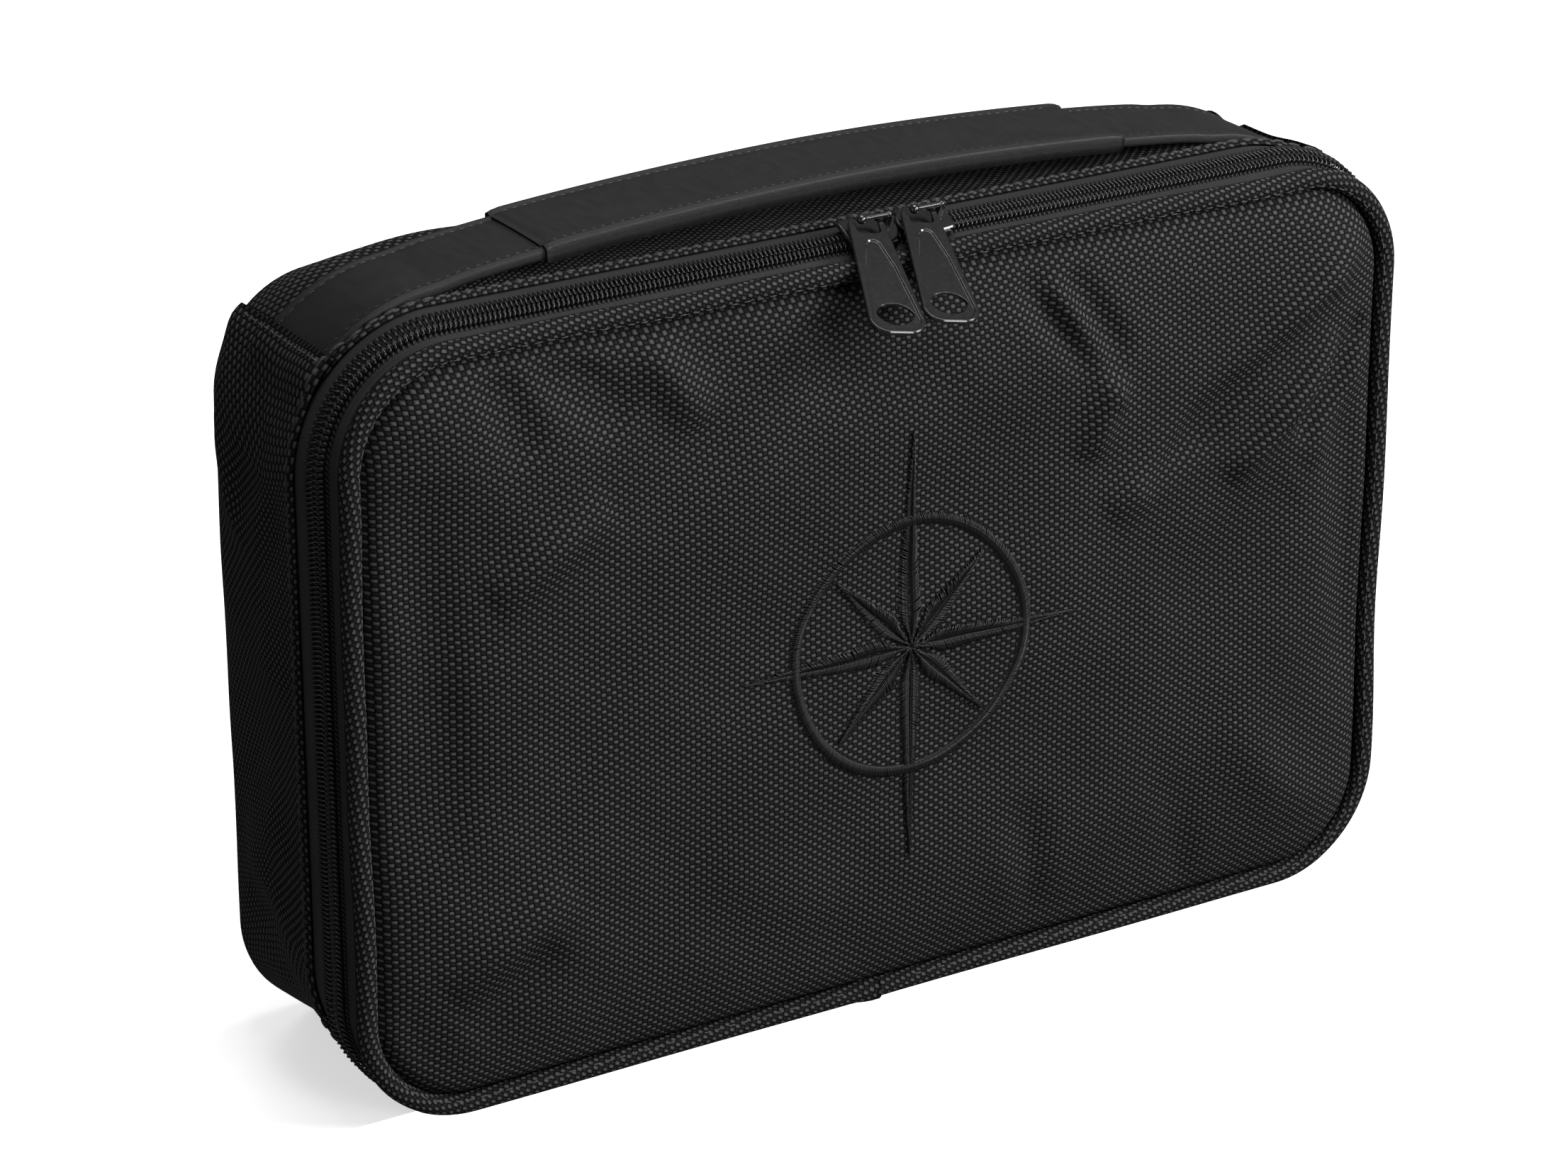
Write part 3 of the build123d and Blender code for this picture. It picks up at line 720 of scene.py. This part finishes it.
def coil_plastic():
    material = new_material("zip_coil_plastic")
    flat, u, v = cloth_places(material.node_tree)
    scuffs = flat.noise(flat, 500.0, 3.0)
    bump = flat.node("Bump", {}, {"Strength": 0.3, "Distance": 0.03 * MM, "Height": scuffs})
    return finished(material, {"Base Color": scuffs.between(grey(0.004), grey(0.012)),
                               "Roughness": 0.18 + scuffs * 0.2, "Normal": bump},
                    {"Specular IOR Level": 0.6})


coil_material = coil_plastic()
CHAIN_HALVES = (("lid", "lid", -1), ("body", "shell", 1))
for name, body, side in CHAIN_HALVES:
    coil = coil_row(f"{name}_coil", side)
    dress(coil, coil_material, body, "zip_coil", f"{name}_zip_coil")


def along_chain(offset, stand):
    """Line beside the chain, on the tape."""
    def at(length):
        return skin(on_loop(length), (CHAIN_Y + offset) * MM, stand * MM)
    return at


tape_thread = thread_material("tape_thread", 0.006, 0.022, 0.6)
# Rows of knots: name, distance from the chain's middle, stand-out, length and gap, in mm.
KNOT_ROWS = (("coil", 2.3, 1.95, 0.95, 0.35), ("edge", 3.7, 0.35, 0.8, 0.5))
KNOT_SLANT = 0.5 * MM
for name, body, side in CHAIN_HALVES:
    for row, offset, stand, length, gap in KNOT_ROWS:
        lines, facing = stitch_lines(along_chain(side * offset, stand), CHAIN_TO, length * MM, gap * MM,
                                     0.35 * MM, CHAIN_FROM)
        lines[..., 1] += side * KNOT_SLANT * np.linspace(-1, 1, STITCH_POINTS)
        knots = threads(f"{name}_{row}_thread", lines, 0.34 * MM, facing)
        dress(knots, tape_thread, body, "thread")

# ---- gusset ----------------------------------------------------------------------------------
# The side wall is four cuts of the nylon over foam. Its front edge is folded under and sewn to
# the zip tape; the side cuts lap over the top cut and over the ends of the handle.

STRAP_LOW, STRAP_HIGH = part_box("handle_strap")
SEAM_TURN = 47.0
SEAM_SHARE = (90 - SEAM_TURN) / 90
RIGHT_SEAM, LEFT_SEAM = 3 + SEAM_SHARE, 6 - SEAM_SHARE
LAP = 0.05
HINGE_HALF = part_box("hinge_strip")[1].x
BOTTOM_RIGHT = HINGE_HALF / STRAIGHT_X
BOTTOM_LEFT = SIDES - HINGE_HALF / STRAIGHT_X
# Each fold: side, height and depth of one end and of the other, width and rise, in mm.
WALL_FOLDS = [
    (("left", 178), 2, ("left", 150), 20, 5.0, -2.6), (("left", 170), 30, ("left", 140), 14, 5.0, 1.4),
    (("left", 168), -8, ("left", 128), 6, 6.0, -1.3), (("left", 40), 24, ("left", 16), 0, 6.0, -1.2),
    (("left", 30), -6, ("left", 52), 22, 5.0, 0.9), (("left", 110), 4, ("left", 60), 14, 12.0, -1.6),
    (("right", 178), 2, ("right", 148), 22, 5.0, -2.2), (("right", 60), -4, ("right", 24), 20, 7.0, -1.3),
    (("right", 120), 24, ("right", 80), 2, 8.0, -1.1), (("right", 150), -4, ("right", 120), 18, 6.0, 0.9),
]
WALL_LUMPS = ((60, 21, 0.7), (24, 22, 0.2))
WALL_DENT_LIMIT = 1.2 * MM
STRAP_SLOPE, STRAP_BULGE = 2.5 * MM, 2.3 * MM
EAR_RISE, LAP_RISE = 1.6 * MM, 0.95 * MM
FOAM_BACK = -3.6
GUSSET_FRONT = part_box("gusset_top")[0].y / MM
GUSSET_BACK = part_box("back_panel")[0].y / MM


def upright(side, z):
    """Length round the loop to a height on its right or left side."""
    up = z * MM - LOOP_LOW - LOOP_R
    return SIDE_STARTS[2] + up if side == "right" else SIDE_STARTS[7] - up


# Where the stuffing bulges the wall: length round the loop, depth, their two widths, rise.
BULGES = ((SIDE_STARTS[4] + STRAIGHT_X + 86 * MM, 27 * MM, 36 * MM, 7 * MM, 4.6 * MM),
          (upright("left", 142), 26 * MM, 40 * MM, 14 * MM, 1.8 * MM))


def wall_wave(place, y):
    """Unevenness of the side wall: soft lumps, folds, and its flat rest on the base."""
    u = travel(place)
    points, _ = skin(place, y, 0)
    standing = np.clip((points[..., 2] - 6 * MM) / (20 * MM), 0, 1)
    front = np.clip((y / MM - GUSSET_FRONT - 3) / 8, 0, 1)
    back = np.clip((GUSSET_BACK - y / MM) / 7, 0, 1)
    soft = lumpy(u, y * 1.2, WALL_LUMPS[:1]) + lumpy(u, y, WALL_LUMPS[1:])
    for (side, z0), y0, (_, z1), y1, width, height in WALL_FOLDS:
        start, end = (upright(side, z0), y0 * MM), (upright(side, z1), y1 * MM)
        soft = soft + fold(u, y, start, end, width * MM, height * MM)
    full = sum(rise * hump(u, at, wide) * hump(y, deep, tall)
               for at, deep, wide, tall, rise in BULGES)
    return (pressed(soft, WALL_DENT_LIMIT) + full) * standing * front * back


def from_seam(place):
    return np.minimum(np.abs(place - RIGHT_SEAM), np.abs(place - LEFT_SEAM))


def strap_cover(place, y):
    """Rise of the side cut over the end of the handle strap beside a top seam."""
    over = np.clip((y - STRAP_LOW.y) / STRAP_SLOPE + 1, 0, 1) * np.clip(
        (STRAP_HIGH.y - y) / STRAP_SLOPE + 1, 0, 1)
    return over * STRAP_BULGE * np.clip(1.35 - from_seam(place) / 0.12, 0, 1)


def side_wave(place, y):
    """Unevenness of a side cut: the wall's own, with its lap and its puckered ear at the seam."""
    near = from_seam(place)
    ear = EAR_RISE * hump(y, 31 * MM, 4 * MM) * hump(near, 0, 0.12)
    return wall_wave(place, y) + strap_cover(place, y) + LAP_RISE * hump(near, 0, 0.14) + ear


def wall_section():
    """Cut of nylon from its folded front edge to the seam at the back, with its foam behind."""
    y = np.concatenate([np.linspace(GUSSET_FRONT + 0.6, GUSSET_FRONT + 3, 4),
                        np.linspace(GUSSET_FRONT + 5, GUSSET_BACK - 4, 24),
                        np.linspace(GUSSET_BACK - 3, GUSSET_BACK + 0.4, 7)])
    from_back = GUSSET_BACK + 0.6 - y
    turned = 1.5 * hump(from_back, 0, 1.7)
    fold_over = 0.25 * hump(y, GUSSET_FRONT + 1.2, 1.2)
    outer = NYLON_T / MM - turned + fold_over
    outer[0] = 0.75
    ring_up = [(GUSSET_FRONT, 0.35)] + list(zip(y, outer))
    return ring_up + [(y[-1], -2.0), (14, FOAM_BACK), (-8, FOAM_BACK), (GUSSET_FRONT + 3, 0.05)]


def gusset_panel(name, node, first, last, wave):
    cut = wall_strip(name, places(first, last, 1.8 * MM), wall_section(), wave)
    return dress(cut, nylon, "shell", "nylon", node, fill=0.4)


gusset_panel("gusset_top_cloth", "gusset_top", RIGHT_SEAM - 0.02, LEFT_SEAM + 0.02, wall_wave)
right_wall = gusset_panel("gusset_right_cloth", "gusset_right", BOTTOM_RIGHT, RIGHT_SEAM + LAP,
                          side_wave)
gusset_panel("gusset_left_cloth", "gusset_left", LEFT_SEAM - LAP, BOTTOM_LEFT, side_wave)
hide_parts("gusset_foam")

base_x = np.linspace(-HINGE_HALF, HINGE_HALF, 90)[:, None]
base_section = np.asarray(wall_section()) * MM
base_places = np.where(base_x >= 0, base_x / STRAIGHT_X, SIDES + base_x / STRAIGHT_X)
base_points, _ = skin(base_places, base_section[None, :, 0], base_section[None, :, 1])
base_cloth = np.stack(np.broadcast_arrays(base_x, base_section[None, :, 0]), -1)
base = new_mesh("gusset_bottom_cloth", base_points, tube_faces(*base_points.shape[:2]), base_cloth)
dress(base, nylon, "shell", "nylon", "gusset_bottom", fill=0.4)


def on_wall(y, stand, wave):
    """Line round the wall at one depth, on the cloth."""
    def at(length):
        place = on_loop(length)
        return skin(place, y * MM, stand * MM + wave(place, np.full_like(length, y * MM)))
    return at


edge_lines, edge_up = stitch_lines(on_wall(GUSSET_FRONT + 1.7, 1.42, side_wave), CHAIN_TO + 6 * MM,
                                   2.9 * MM, 0.7 * MM, 0.45 * MM, CHAIN_FROM - 6 * MM)
edge_thread = thread_material("edge_thread", 0.012, 0.034, 0.5)
edge_stitches = threads("gusset_edge_stitches", edge_lines, 0.46 * MM, edge_up, sides=7)
dress(edge_stitches, edge_thread, "shell", "thread")

lap_lines, lap_up = [], []
for seam, sign in ((RIGHT_SEAM + LAP, -1), (LEFT_SEAM - LAP, 1)):
    lap_place = seam + sign * 1.6 * MM / CORNER

    def across_wall(length):
        y = GUSSET_FRONT * MM + length
        place = np.full_like(y, lap_place)
        return skin(place, y, 1.3 * MM + side_wave(place, y))

    lines, facing = stitch_lines(across_wall, 46 * MM, 2.1 * MM, 0.9 * MM, 0.4 * MM, 2 * MM)
    lap_lines.append(lines)
    lap_up.append(facing)
lap_stitches = threads("seam_stitches", np.concatenate(lap_lines), 0.2 * MM, np.concatenate(lap_up))
dress(lap_stitches, sewing_thread, "shell", "thread")

# ---- back ------------------------------------------------------------------------------------
# A plain cut of the nylon over foam and a stiff board, sewn inside out to the gusset.

BACK_LOW, BACK_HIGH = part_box("back_panel")
BACK_RISE, BACK_RUN = 1.8 * MM, 30 * MM
BACK_INSET = 0.5 * MM
BACK_LUMPS = ((90, 41, 0.5), (30, 42, 0.12))
back_x, back_z, back_edge = panel_grid(BACK_INSET, 2.4 * MM)
back_turned = 2.2 * MM * hump(back_edge, 0, 2.2 * MM)
back_soft = lumpy(back_x, back_z, BACK_LUMPS) * np.clip(back_edge / (12 * MM), 0, 1)
back_crown = BACK_RISE * (1 - (1 - np.clip(back_edge / BACK_RUN, 0, 1)) ** 2)
back_y = BACK_HIGH.y - 0.2 * MM + back_crown - back_turned + back_soft
back_scale = (BACK_HIGH.z - BACK_LOW.z) / (LOOP_TOP - LOOP_LOW - 2 * BACK_INSET)
back_z = BACK_LOW.z + (back_z - LOOP_LOW - BACK_INSET) * back_scale
back = panel("back_cloth", back_x, back_y, back_z, NYLON_T, faces_back=True)
dress(back, nylon, "shell", "nylon", "back_panel", "back_board", "back_foam", fill=0.35)

# ---- lining ----------------------------------------------------------------------------------
# Smooth woven lining over the foam, with ribbed tape folded over the raw seams. The lining is
# a band round the wall, a panel on the back and a panel in the lid.

LINING_PITCH, LINING_T = 0.55 * MM, 0.7 * MM


def lining_cloth():
    """Fine plain weave with a soft sheen."""
    material = new_material("lining_cloth")
    flat, u, v = cloth_places(material.node_tree)
    weave, across = [(at * (2 * pi / LINING_PITCH)).maths("SINE") for at in (u, v)]
    weave = weave * across
    bump = flat.node("Bump", {}, {"Strength": 0.6, "Distance": 0.08 * MM, "Height": weave})
    shade = (flat.noise(flat, 40.0, 4.0) * 0.7 + weave * 0.3).clamp()
    return finished(material, {"Base Color": shade.between(grey(0.014), grey(0.036)), "Normal": bump},
                    {"Roughness": 0.62, "Specular IOR Level": 0.35, "Sheen Weight": 0.1})


lining = lining_cloth()


def lining_wave(place, y):
    """Slight unevenness of the band, away from its two seams."""
    inside = np.clip((y / MM + 9) / 8, 0, 1) * np.clip((32 - y / MM) / 8, 0, 1)
    return inside * (billow(travel(place), y, 40 * MM, 61) * 0.5 - 0.3) * MM


lining_y = np.linspace(-8, 33, 16)
lining_section = [(-11.9, -1.2), (-11.2, -1.6), (-11.2, -4.0)] + [(y, -4.2) for y in lining_y]
lining_section += [(y, -4.95) for y in lining_y[::-1]] + [(-11.9, -4.8), (-12.0, -2.5)]
wall_lining = wall_strip("wall_lining", places(0, SIDES, 3 * MM), lining_section, lining_wave)
dress(wall_lining, lining, "shell", "lining", "gusset_lining")

inner_low, inner_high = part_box("back_lining")
inner_x, inner_z, inner_edge = panel_grid(LOOP_HALF - inner_high.x, 3 * MM)
inner_z = inner_low.z + (inner_z - inner_z.min()) * (inner_high.z - inner_low.z) / np.ptp(inner_z)
inner_soft = 0.5 * MM * billow(inner_x, inner_z, 45 * MM, 62) * np.clip(inner_edge / (10 * MM), 0, 1)
inner = panel("back_lining_cloth", inner_x, inner_low.y + 0.2 * MM + inner_soft, inner_z, LINING_T)
dress(inner, lining, "shell", "lining", "back_lining")

lid_in_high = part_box("front_lining")[1]
lid_x, lid_z, lid_edge = panel_grid(LOOP_HALF - lid_in_high.x, 2.6 * MM)
lid_soft = 0.45 * MM * billow(lid_x, lid_z, 50 * MM, 63) * np.clip(lid_edge / (10 * MM), 0, 1)
lid_y = lid_in_high.y - 0.15 * MM - lid_crown(lid_edge) + lid_soft
lid_inner = panel("lid_lining_cloth", lid_x, lid_y, lid_z, LINING_T, faces_back=True)
dress(lid_inner, lining, "lid", "lining", "front_lining")


def ribbed_binding():
    """Narrow tape with fine ribs across it."""
    material = new_material("ribbed_binding")
    flat, u, _ = cloth_places(material.node_tree)
    ribs = ripple(u, 0.8 * MM)
    uneven = flat.noise(flat, 80.0)
    bump = flat.node("Bump", {}, {"Strength": 0.8, "Distance": 0.15 * MM, "Height": ribs})
    return finished(material, {"Base Color": (ribs * 0.6 + uneven * 0.4).between(grey(0.008), grey(0.026)),
                               "Normal": bump}, {"Roughness": 0.65, "Specular IOR Level": 0.3})


binding = ribbed_binding()


def bound_seam(name, body, node, half, low, high, radius, section):
    """Folded tape round an inside seam. The section is a loop of depths and distances inwards."""
    around = places(0, 9, 3 * MM)[:-1]
    section = np.asarray(section) * MM
    inwards = section[None, :, 1]
    x, z, _, _ = loop_at(np.broadcast_to(around[:, None], (len(around), len(section))), half - inwards,
                         low + inwards, high - inwards, radius - inwards)
    y = np.broadcast_to(section[None, :, 0], x.shape)
    cloth = np.stack(np.broadcast_arrays(travel(around)[:, None], section[None, :, 0]), -1)
    tape = new_mesh(name, np.stack([x, y, z], -1),
                    grid_faces(len(around), len(section), close_rows=True, close_cols=True), cloth)
    return dress(tape, binding, body, "binding", node)


low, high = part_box("back_seam_binding")
bound_seam("back_binding", "shell", "back_seam_binding", high.x, low.z, high.z, 33 * MM,
           [(high.y / MM - 0.3, 0.1), (low.y / MM + 0.6, 0.1), (low.y / MM + 0.1, 0.8),
            (low.y / MM + 0.6, 1.5), (high.y / MM - 4, 1.65), (high.y / MM - 0.3, 1.4)])
low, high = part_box("lid_seam_binding")
bound_seam("lid_binding", "lid", "lid_seam_binding", high.x, low.z, high.z, 20 * MM,
           [(low.y / MM + 0.1, 0.1), (low.y / MM + 0.1, 0.7), (high.y / MM - 1.2, 0.75),
            (high.y / MM - 0.1, 0.2), (high.y / MM, -0.6), (high.y / MM, -4.6),
            (high.y / MM - 0.5, -4.9), (high.y / MM - 0.8, -4.6), (high.y / MM - 0.9, -0.6)])

# ---- hinge -----------------------------------------------------------------------------------
# The nylon of the base runs on to the lid's bottom seam, as one strip.

HINGE_Y = frame["record"]["behaviour"]["joints"][0]["pos_m"][1]
hinge_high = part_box("hinge_strip")[1]
hinge_y = np.concatenate([np.linspace(hinge_high.y + 1 * MM, HINGE_Y + 3 * MM, 12),
                          np.linspace(HINGE_Y + 2.6 * MM, HINGE_Y - 1.2 * MM, 12)])
hinge_section = np.array([(y, 1.15 * MM) for y in hinge_y] + [(y, 0.1 * MM) for y in hinge_y[::-1]])
hinge_x = np.linspace(-HINGE_HALF, HINGE_HALF, 100)
hinge_points = np.stack([np.repeat(hinge_x[:, None], len(hinge_section), 1),
                         np.repeat(hinge_section[None, :, 0], len(hinge_x), 0),
                         np.repeat(hinge_section[None, :, 1], len(hinge_x), 0)], -1)
hinge = new_mesh("hinge_cloth", hinge_points, tube_faces(*hinge_points.shape[:2]),
                 hinge_points[..., :2])
hinge.data.materials.append(nylon)
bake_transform(hinge)
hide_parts("hinge_strip")

# ---- handle ----------------------------------------------------------------------------------
# A leather strap lies along the top and goes under the lapped seams at both ends. A second,
# padded wrap of leather is sewn round its middle; both are edge-stitched along the front.


def fine_leather():
    """Pebbled grain with soft creases and a low shine."""
    material = new_material("fine_leather")
    flat, _, _ = cloth_places(material.node_tree)
    pebbles = flat.node("TexVoronoi", {"feature": "F1"}, {"Vector": flat, "Scale": 1500.0})
    stretched = flat.node("VectorMath", {"operation": "MULTIPLY"}, {0: flat, 1: (1.0, 0.35, 1.0)})
    creases = flat.noise(stretched, 420.0, 4.0)
    wear = flat.noise(flat, 45.0, 3.0)
    height = (1.0 - pebbles) * 0.5 + creases * 0.8
    bump = flat.node("Bump", {}, {"Strength": 0.55, "Distance": 0.12 * MM, "Height": height})
    shade = (creases * 0.6 + wear * 0.5).clamp()
    return finished(material, {"Base Color": shade.between(grey(0.003), grey(0.015)),
                               "Roughness": 0.45 + creases * 0.28, "Normal": bump},
                    {"Specular IOR Level": 0.28})


leather = fine_leather()
STRAP_MID = (STRAP_LOW.y + STRAP_HIGH.y) / 2
STRAP_HALF_W = (STRAP_HIGH.y - STRAP_LOW.y) / 2
STRAP_T = 2.2 * MM
ARCH_X = 110 * MM
ARCH_POWER = 0.7
WALL_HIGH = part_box("gusset_top")[1].z
ARCH_RISE = STRAP_HIGH.z - STRAP_T - WALL_HIGH
CROWNED_R = 42 * MM
SHOULDER_X = LOOP_HALF + SKIN[1, 1] - CROWNED_R
WALL_R = CROWNED_R + 1.2 * MM


def strap_under(x):
    """Height of the strap's underside: arched over the middle, lying on the shoulders."""
    rise = np.maximum(np.cos(np.minimum(np.abs(x) / ARCH_X, 1) * pi / 2), 0)
    arch = WALL_HIGH + ARCH_RISE * rise**ARCH_POWER
    bend = np.clip((np.abs(x) - SHOULDER_X) / WALL_R, 0, 0.999)
    lying = WALL_HIGH - WALL_R * (1 - np.sqrt(1 - bend**2))
    soft = 5 * MM
    mix = np.clip((np.abs(x) - ARCH_X + 4 * MM) / soft, 0, 1)
    return arch * (1 - mix) + lying * mix


def handle_cut(name, half, low_gap, width, thick, roll, ends):
    """Strap of leather along the handle line, with a rolled and grooved edge on both sides."""
    x = np.linspace(-half, half, int(2 * half / (1.6 * MM)))
    under = strap_under(x)
    for _ in range(3):
        under[1:-1] = (under[:-2] + 2 * under[1:-1] + under[2:]) / 4
    slope = np.gradient(under, x)
    nx, nz = -slope / np.hypot(1, slope), 1 / np.hypot(1, slope)
    t = np.sin(np.linspace(-1, 1, 41) * pi / 2)
    top = thick + 0.35 * MM * (1 - t**2)
    top = top + roll * hump(np.abs(t), 0.9, 0.06)
    top = top - 0.5 * roll * hump(np.abs(t), 0.8, 0.04)
    top[[0, -1]] = thick * 0.55
    top[[1, -2]] = thick * 0.85
    y = STRAP_MID + t * width
    section = [(a, b) for a, b in zip(y, top)] + [(STRAP_MID + width, 0.3 * thick)]
    section += [(a, -low_gap) for a in y[1:-1][::-1]] + [(STRAP_MID - width, 0.3 * thick)]
    section = np.array(section)
    lean = 0.5 * MM * np.sin(x / 0.03 + 0.6) * np.clip(1 - np.abs(x) / half, 0, 1)
    rise = section[None, :, 1] * np.ones_like(x)[:, None]
    if ends:
        close = np.clip((half - np.abs(x)) / ends, 0, 1)
        rise = rise * (0.82 + 0.18 * np.sqrt(close))[:, None]
    points = np.stack([x[:, None] + nx[:, None] * rise,
                       section[None, :, 0] + lean[:, None],
                       under[:, None] + nz[:, None] * rise], -1)
    run = np.cumsum(np.hypot(np.diff(x, prepend=x[0]), np.diff(under, prepend=under[0])))
    cross = np.cumsum(np.hypot(*np.diff(section, axis=0, prepend=section[:1]).T))
    cloth = np.stack(np.broadcast_arrays(run[:, None], cross[None]), -1)
    strip = new_mesh(name, points, tube_faces(len(x), len(section)), cloth)
    return strip, (x, under, nx, nz, lean)


strap, strap_line = handle_cut("strap_leather", STRAP_HIGH.x, 0.0, STRAP_HALF_W, STRAP_T,
                               0.5 * MM, 0)
dress(strap, leather, "shell", "leather", "handle_strap")
GRIP_LOW, GRIP_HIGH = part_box("handle_grip")
GRIP_T = GRIP_HIGH.z - WALL_HIGH - ARCH_RISE
grip, grip_line = handle_cut("grip_leather", GRIP_HIGH.x, 0.9 * MM, (GRIP_HIGH.y - GRIP_LOW.y) / 2,
                             GRIP_T - 0.5 * MM, 0.6 * MM, 3 * MM)
dress(grip, leather, "shell", "leather", "handle_grip", "handle_padding", fill=0.5)


def along_handle(line, y, stand):
    """Line of stitches along the handle at one depth across it."""
    x, under, nx, nz, lean = line

    def at(length):
        u = length + x[0]
        around = [np.interp(u, x, k) for k in (under, nx, nz, lean)]
        facing = np.stack([around[1], np.zeros_like(u), around[2]], -1)
        foot = np.stack([u, y + around[3], around[0]], -1)
        return foot + facing * stand, facing
    return at


leather_thread = thread_material("leather_thread", 0.02, 0.06, 0.5)
stitch_sets, stitch_ups = [], []
for line, half_x, half_y, stand, shares in (
        (strap_line, STRAP_HIGH.x, STRAP_HALF_W, STRAP_T + 0.1 * MM, (0.8,)),
        (grip_line, GRIP_HIGH.x, (GRIP_HIGH.y - GRIP_LOW.y) / 2, GRIP_T - 0.4 * MM, (0.8, 0.97))):
    for share in shares:
        for side in (-1, 1):
            drop = stand * (1.0 if share < 0.9 else 0.72)
            lines, facing = stitch_lines(along_handle(line, STRAP_MID + side * share * half_y, drop),
                                         2 * half_x - 3 * MM, 1.7 * MM, 0.9 * MM, 0.35 * MM, 3 * MM)
            stitch_sets.append(lines)
            stitch_ups.append(facing)
handle_stitches = threads("handle_stitches", np.concatenate(stitch_sets), 0.17 * MM,
                          np.concatenate(stitch_ups))
dress(handle_stitches, leather_thread, "shell", "thread")

# ---- sliders and pull tabs -------------------------------------------------------------------
# Die-cast zinc with a black lacquer. The edges are softened by tumbling before the lacquer.


def black_lacquer():
    """Glossy black over metal, with rounded edges and fine scuffs."""
    material = new_material("black_lacquer")
    tree = material.node_tree
    place = Wire(tree).node("TexCoord", output="Object")
    scuffs = place.noise(place, 900.0, 4.0)
    cloud = place.noise(place, 120.0, 2.0)
    rounded = place.node("Bevel", {"samples": 6}, {"Radius": 0.35 * MM})
    bump = place.node("Bump", {}, {"Strength": 0.15, "Distance": 0.03 * MM, "Height": scuffs,
                                   "Normal": rounded})
    return finished(material, {"Base Color": cloud.between(grey(0.003), grey(0.008)),
                               "Roughness": 0.12 + scuffs * 0.12, "Normal": bump},
                    {"Specular IOR Level": 0.7, "Coat Weight": 0.4, "Coat Roughness": 0.08})


lacquer = black_lacquer()
for side in ("left", "right"):
    for node in (f"slider_{side}_body", f"slider_{side}_crown", f"pull_{side}"):
        piece = frame["nodes"][node]
        piece.data.materials.clear()
        piece.data.materials.append(lacquer)

# ---- floor, light and camera -----------------------------------------------------------------
# The bag stands on a white table that ends just behind its hinge, so that the open lid can hang
# down in front of it, over an equally white floor. Both glow a little. The key light rakes over
# the folds from the right; the camera stands left of the bag and above it.


def pale_ground(name, glow):
    """Matt white that glows, so that it stays white in the picture."""
    material = new_material(name)
    place = Wire(material.node_tree).node("TexCoord", output="Object")
    return finished(material, {"Base Color": place.noise(place, 3.0).between(grey(0.86), grey(0.9))},
                    {"Roughness": 0.9, "Specular IOR Level": 0.1, "Emission Color": (1, 1, 1, 1),
                     "Emission Strength": glow})


FLOOR, FLOOR_DROP = 4.0, 260 * MM
TABLE_EDGE = HINGE_Y + 4 * MM
for name, front_edge, height, glow in (("table", TABLE_EDGE, -0.1 * MM, 0.6),
                                       ("floor", -FLOOR, -FLOOR_DROP, 1.0)):
    plane = bpy.data.meshes.new(name)
    corners = [(-FLOOR, front_edge), (FLOOR, front_edge), (FLOOR, FLOOR), (-FLOOR, FLOOR)]
    plane.from_pydata([(x, y, height) for x, y in corners], [], [(0, 1, 2, 3)])
    plane.materials.append(pale_ground(f"white_{name}", glow))
    ground = bpy.data.objects.new(name, plane)
    ground.visible_diffuse = ground.visible_glossy = False
    bpy.context.scene.collection.objects.link(ground)

world = bpy.data.worlds.new("studio")
bpy.context.scene.world = world
world.use_nodes = True
world.node_tree.nodes["Background"].inputs["Color"].default_value = (1, 1, 1, 1)
world.node_tree.nodes["Background"].inputs["Strength"].default_value = 0.14


def soft_light(name, place, aim, size, power):
    """Softbox: a square area light that points at a spot."""
    light = bpy.data.lights.new(name, "AREA")
    light.shape, light.size, light.energy = "SQUARE", size, power
    obj = bpy.data.objects.new(name, light)
    obj.location = place
    obj.rotation_euler = (Vector(aim) - Vector(place)).to_track_quat("-Z", "Y").to_euler()
    bpy.context.scene.collection.objects.link(obj)
    return obj


soft_light("key_light", (1.0, -0.95, 0.8), (0, 0, 0.1), 0.5, 25)
soft_light("top_light", (0.2, -0.1, 1.6), (0, 0, 0.1), 1.0, 16)
soft_light("back_light", (0.5, 1.5, 0.6), (0, 0, 0.1), 0.8, 13).visible_glossy = False
soft_light("fill_light", (0.2, -1.6, 0.6), (0, 0, 0.1), 0.6, 11)
soft_light("side_light", (-1.3, -0.5, 0.15), (0, 0, 0.05), 0.6, 1.2)

camera_data = bpy.data.cameras.new("camera")
camera = bpy.data.objects.new("camera", camera_data)
bpy.context.scene.collection.objects.link(camera)
CAMERA_TURN, CAMERA_UP = radians(-31.208), radians(22.917)
CAMERA_AIM = Vector((-9.456, 0, 100.75)) * MM
CAMERA_FAR = 1254.98 * MM
CAMERA_LENS, CAMERA_SENSOR = 114.66, 36
camera_back = Vector((sin(CAMERA_TURN) * cos(CAMERA_UP), -cos(CAMERA_TURN) * cos(CAMERA_UP),
                      sin(CAMERA_UP)))
camera.location = CAMERA_AIM + camera_back * CAMERA_FAR
camera.rotation_euler = (-camera_back).to_track_quat("-Z", "Y").to_euler()
camera_data.sensor_width, camera_data.lens = CAMERA_SENSOR, CAMERA_LENS
camera_data.clip_start, camera_data.clip_end = 0.05, 50
bpy.context.scene.camera = camera
bpy.context.scene.view_settings.view_transform = "Standard"
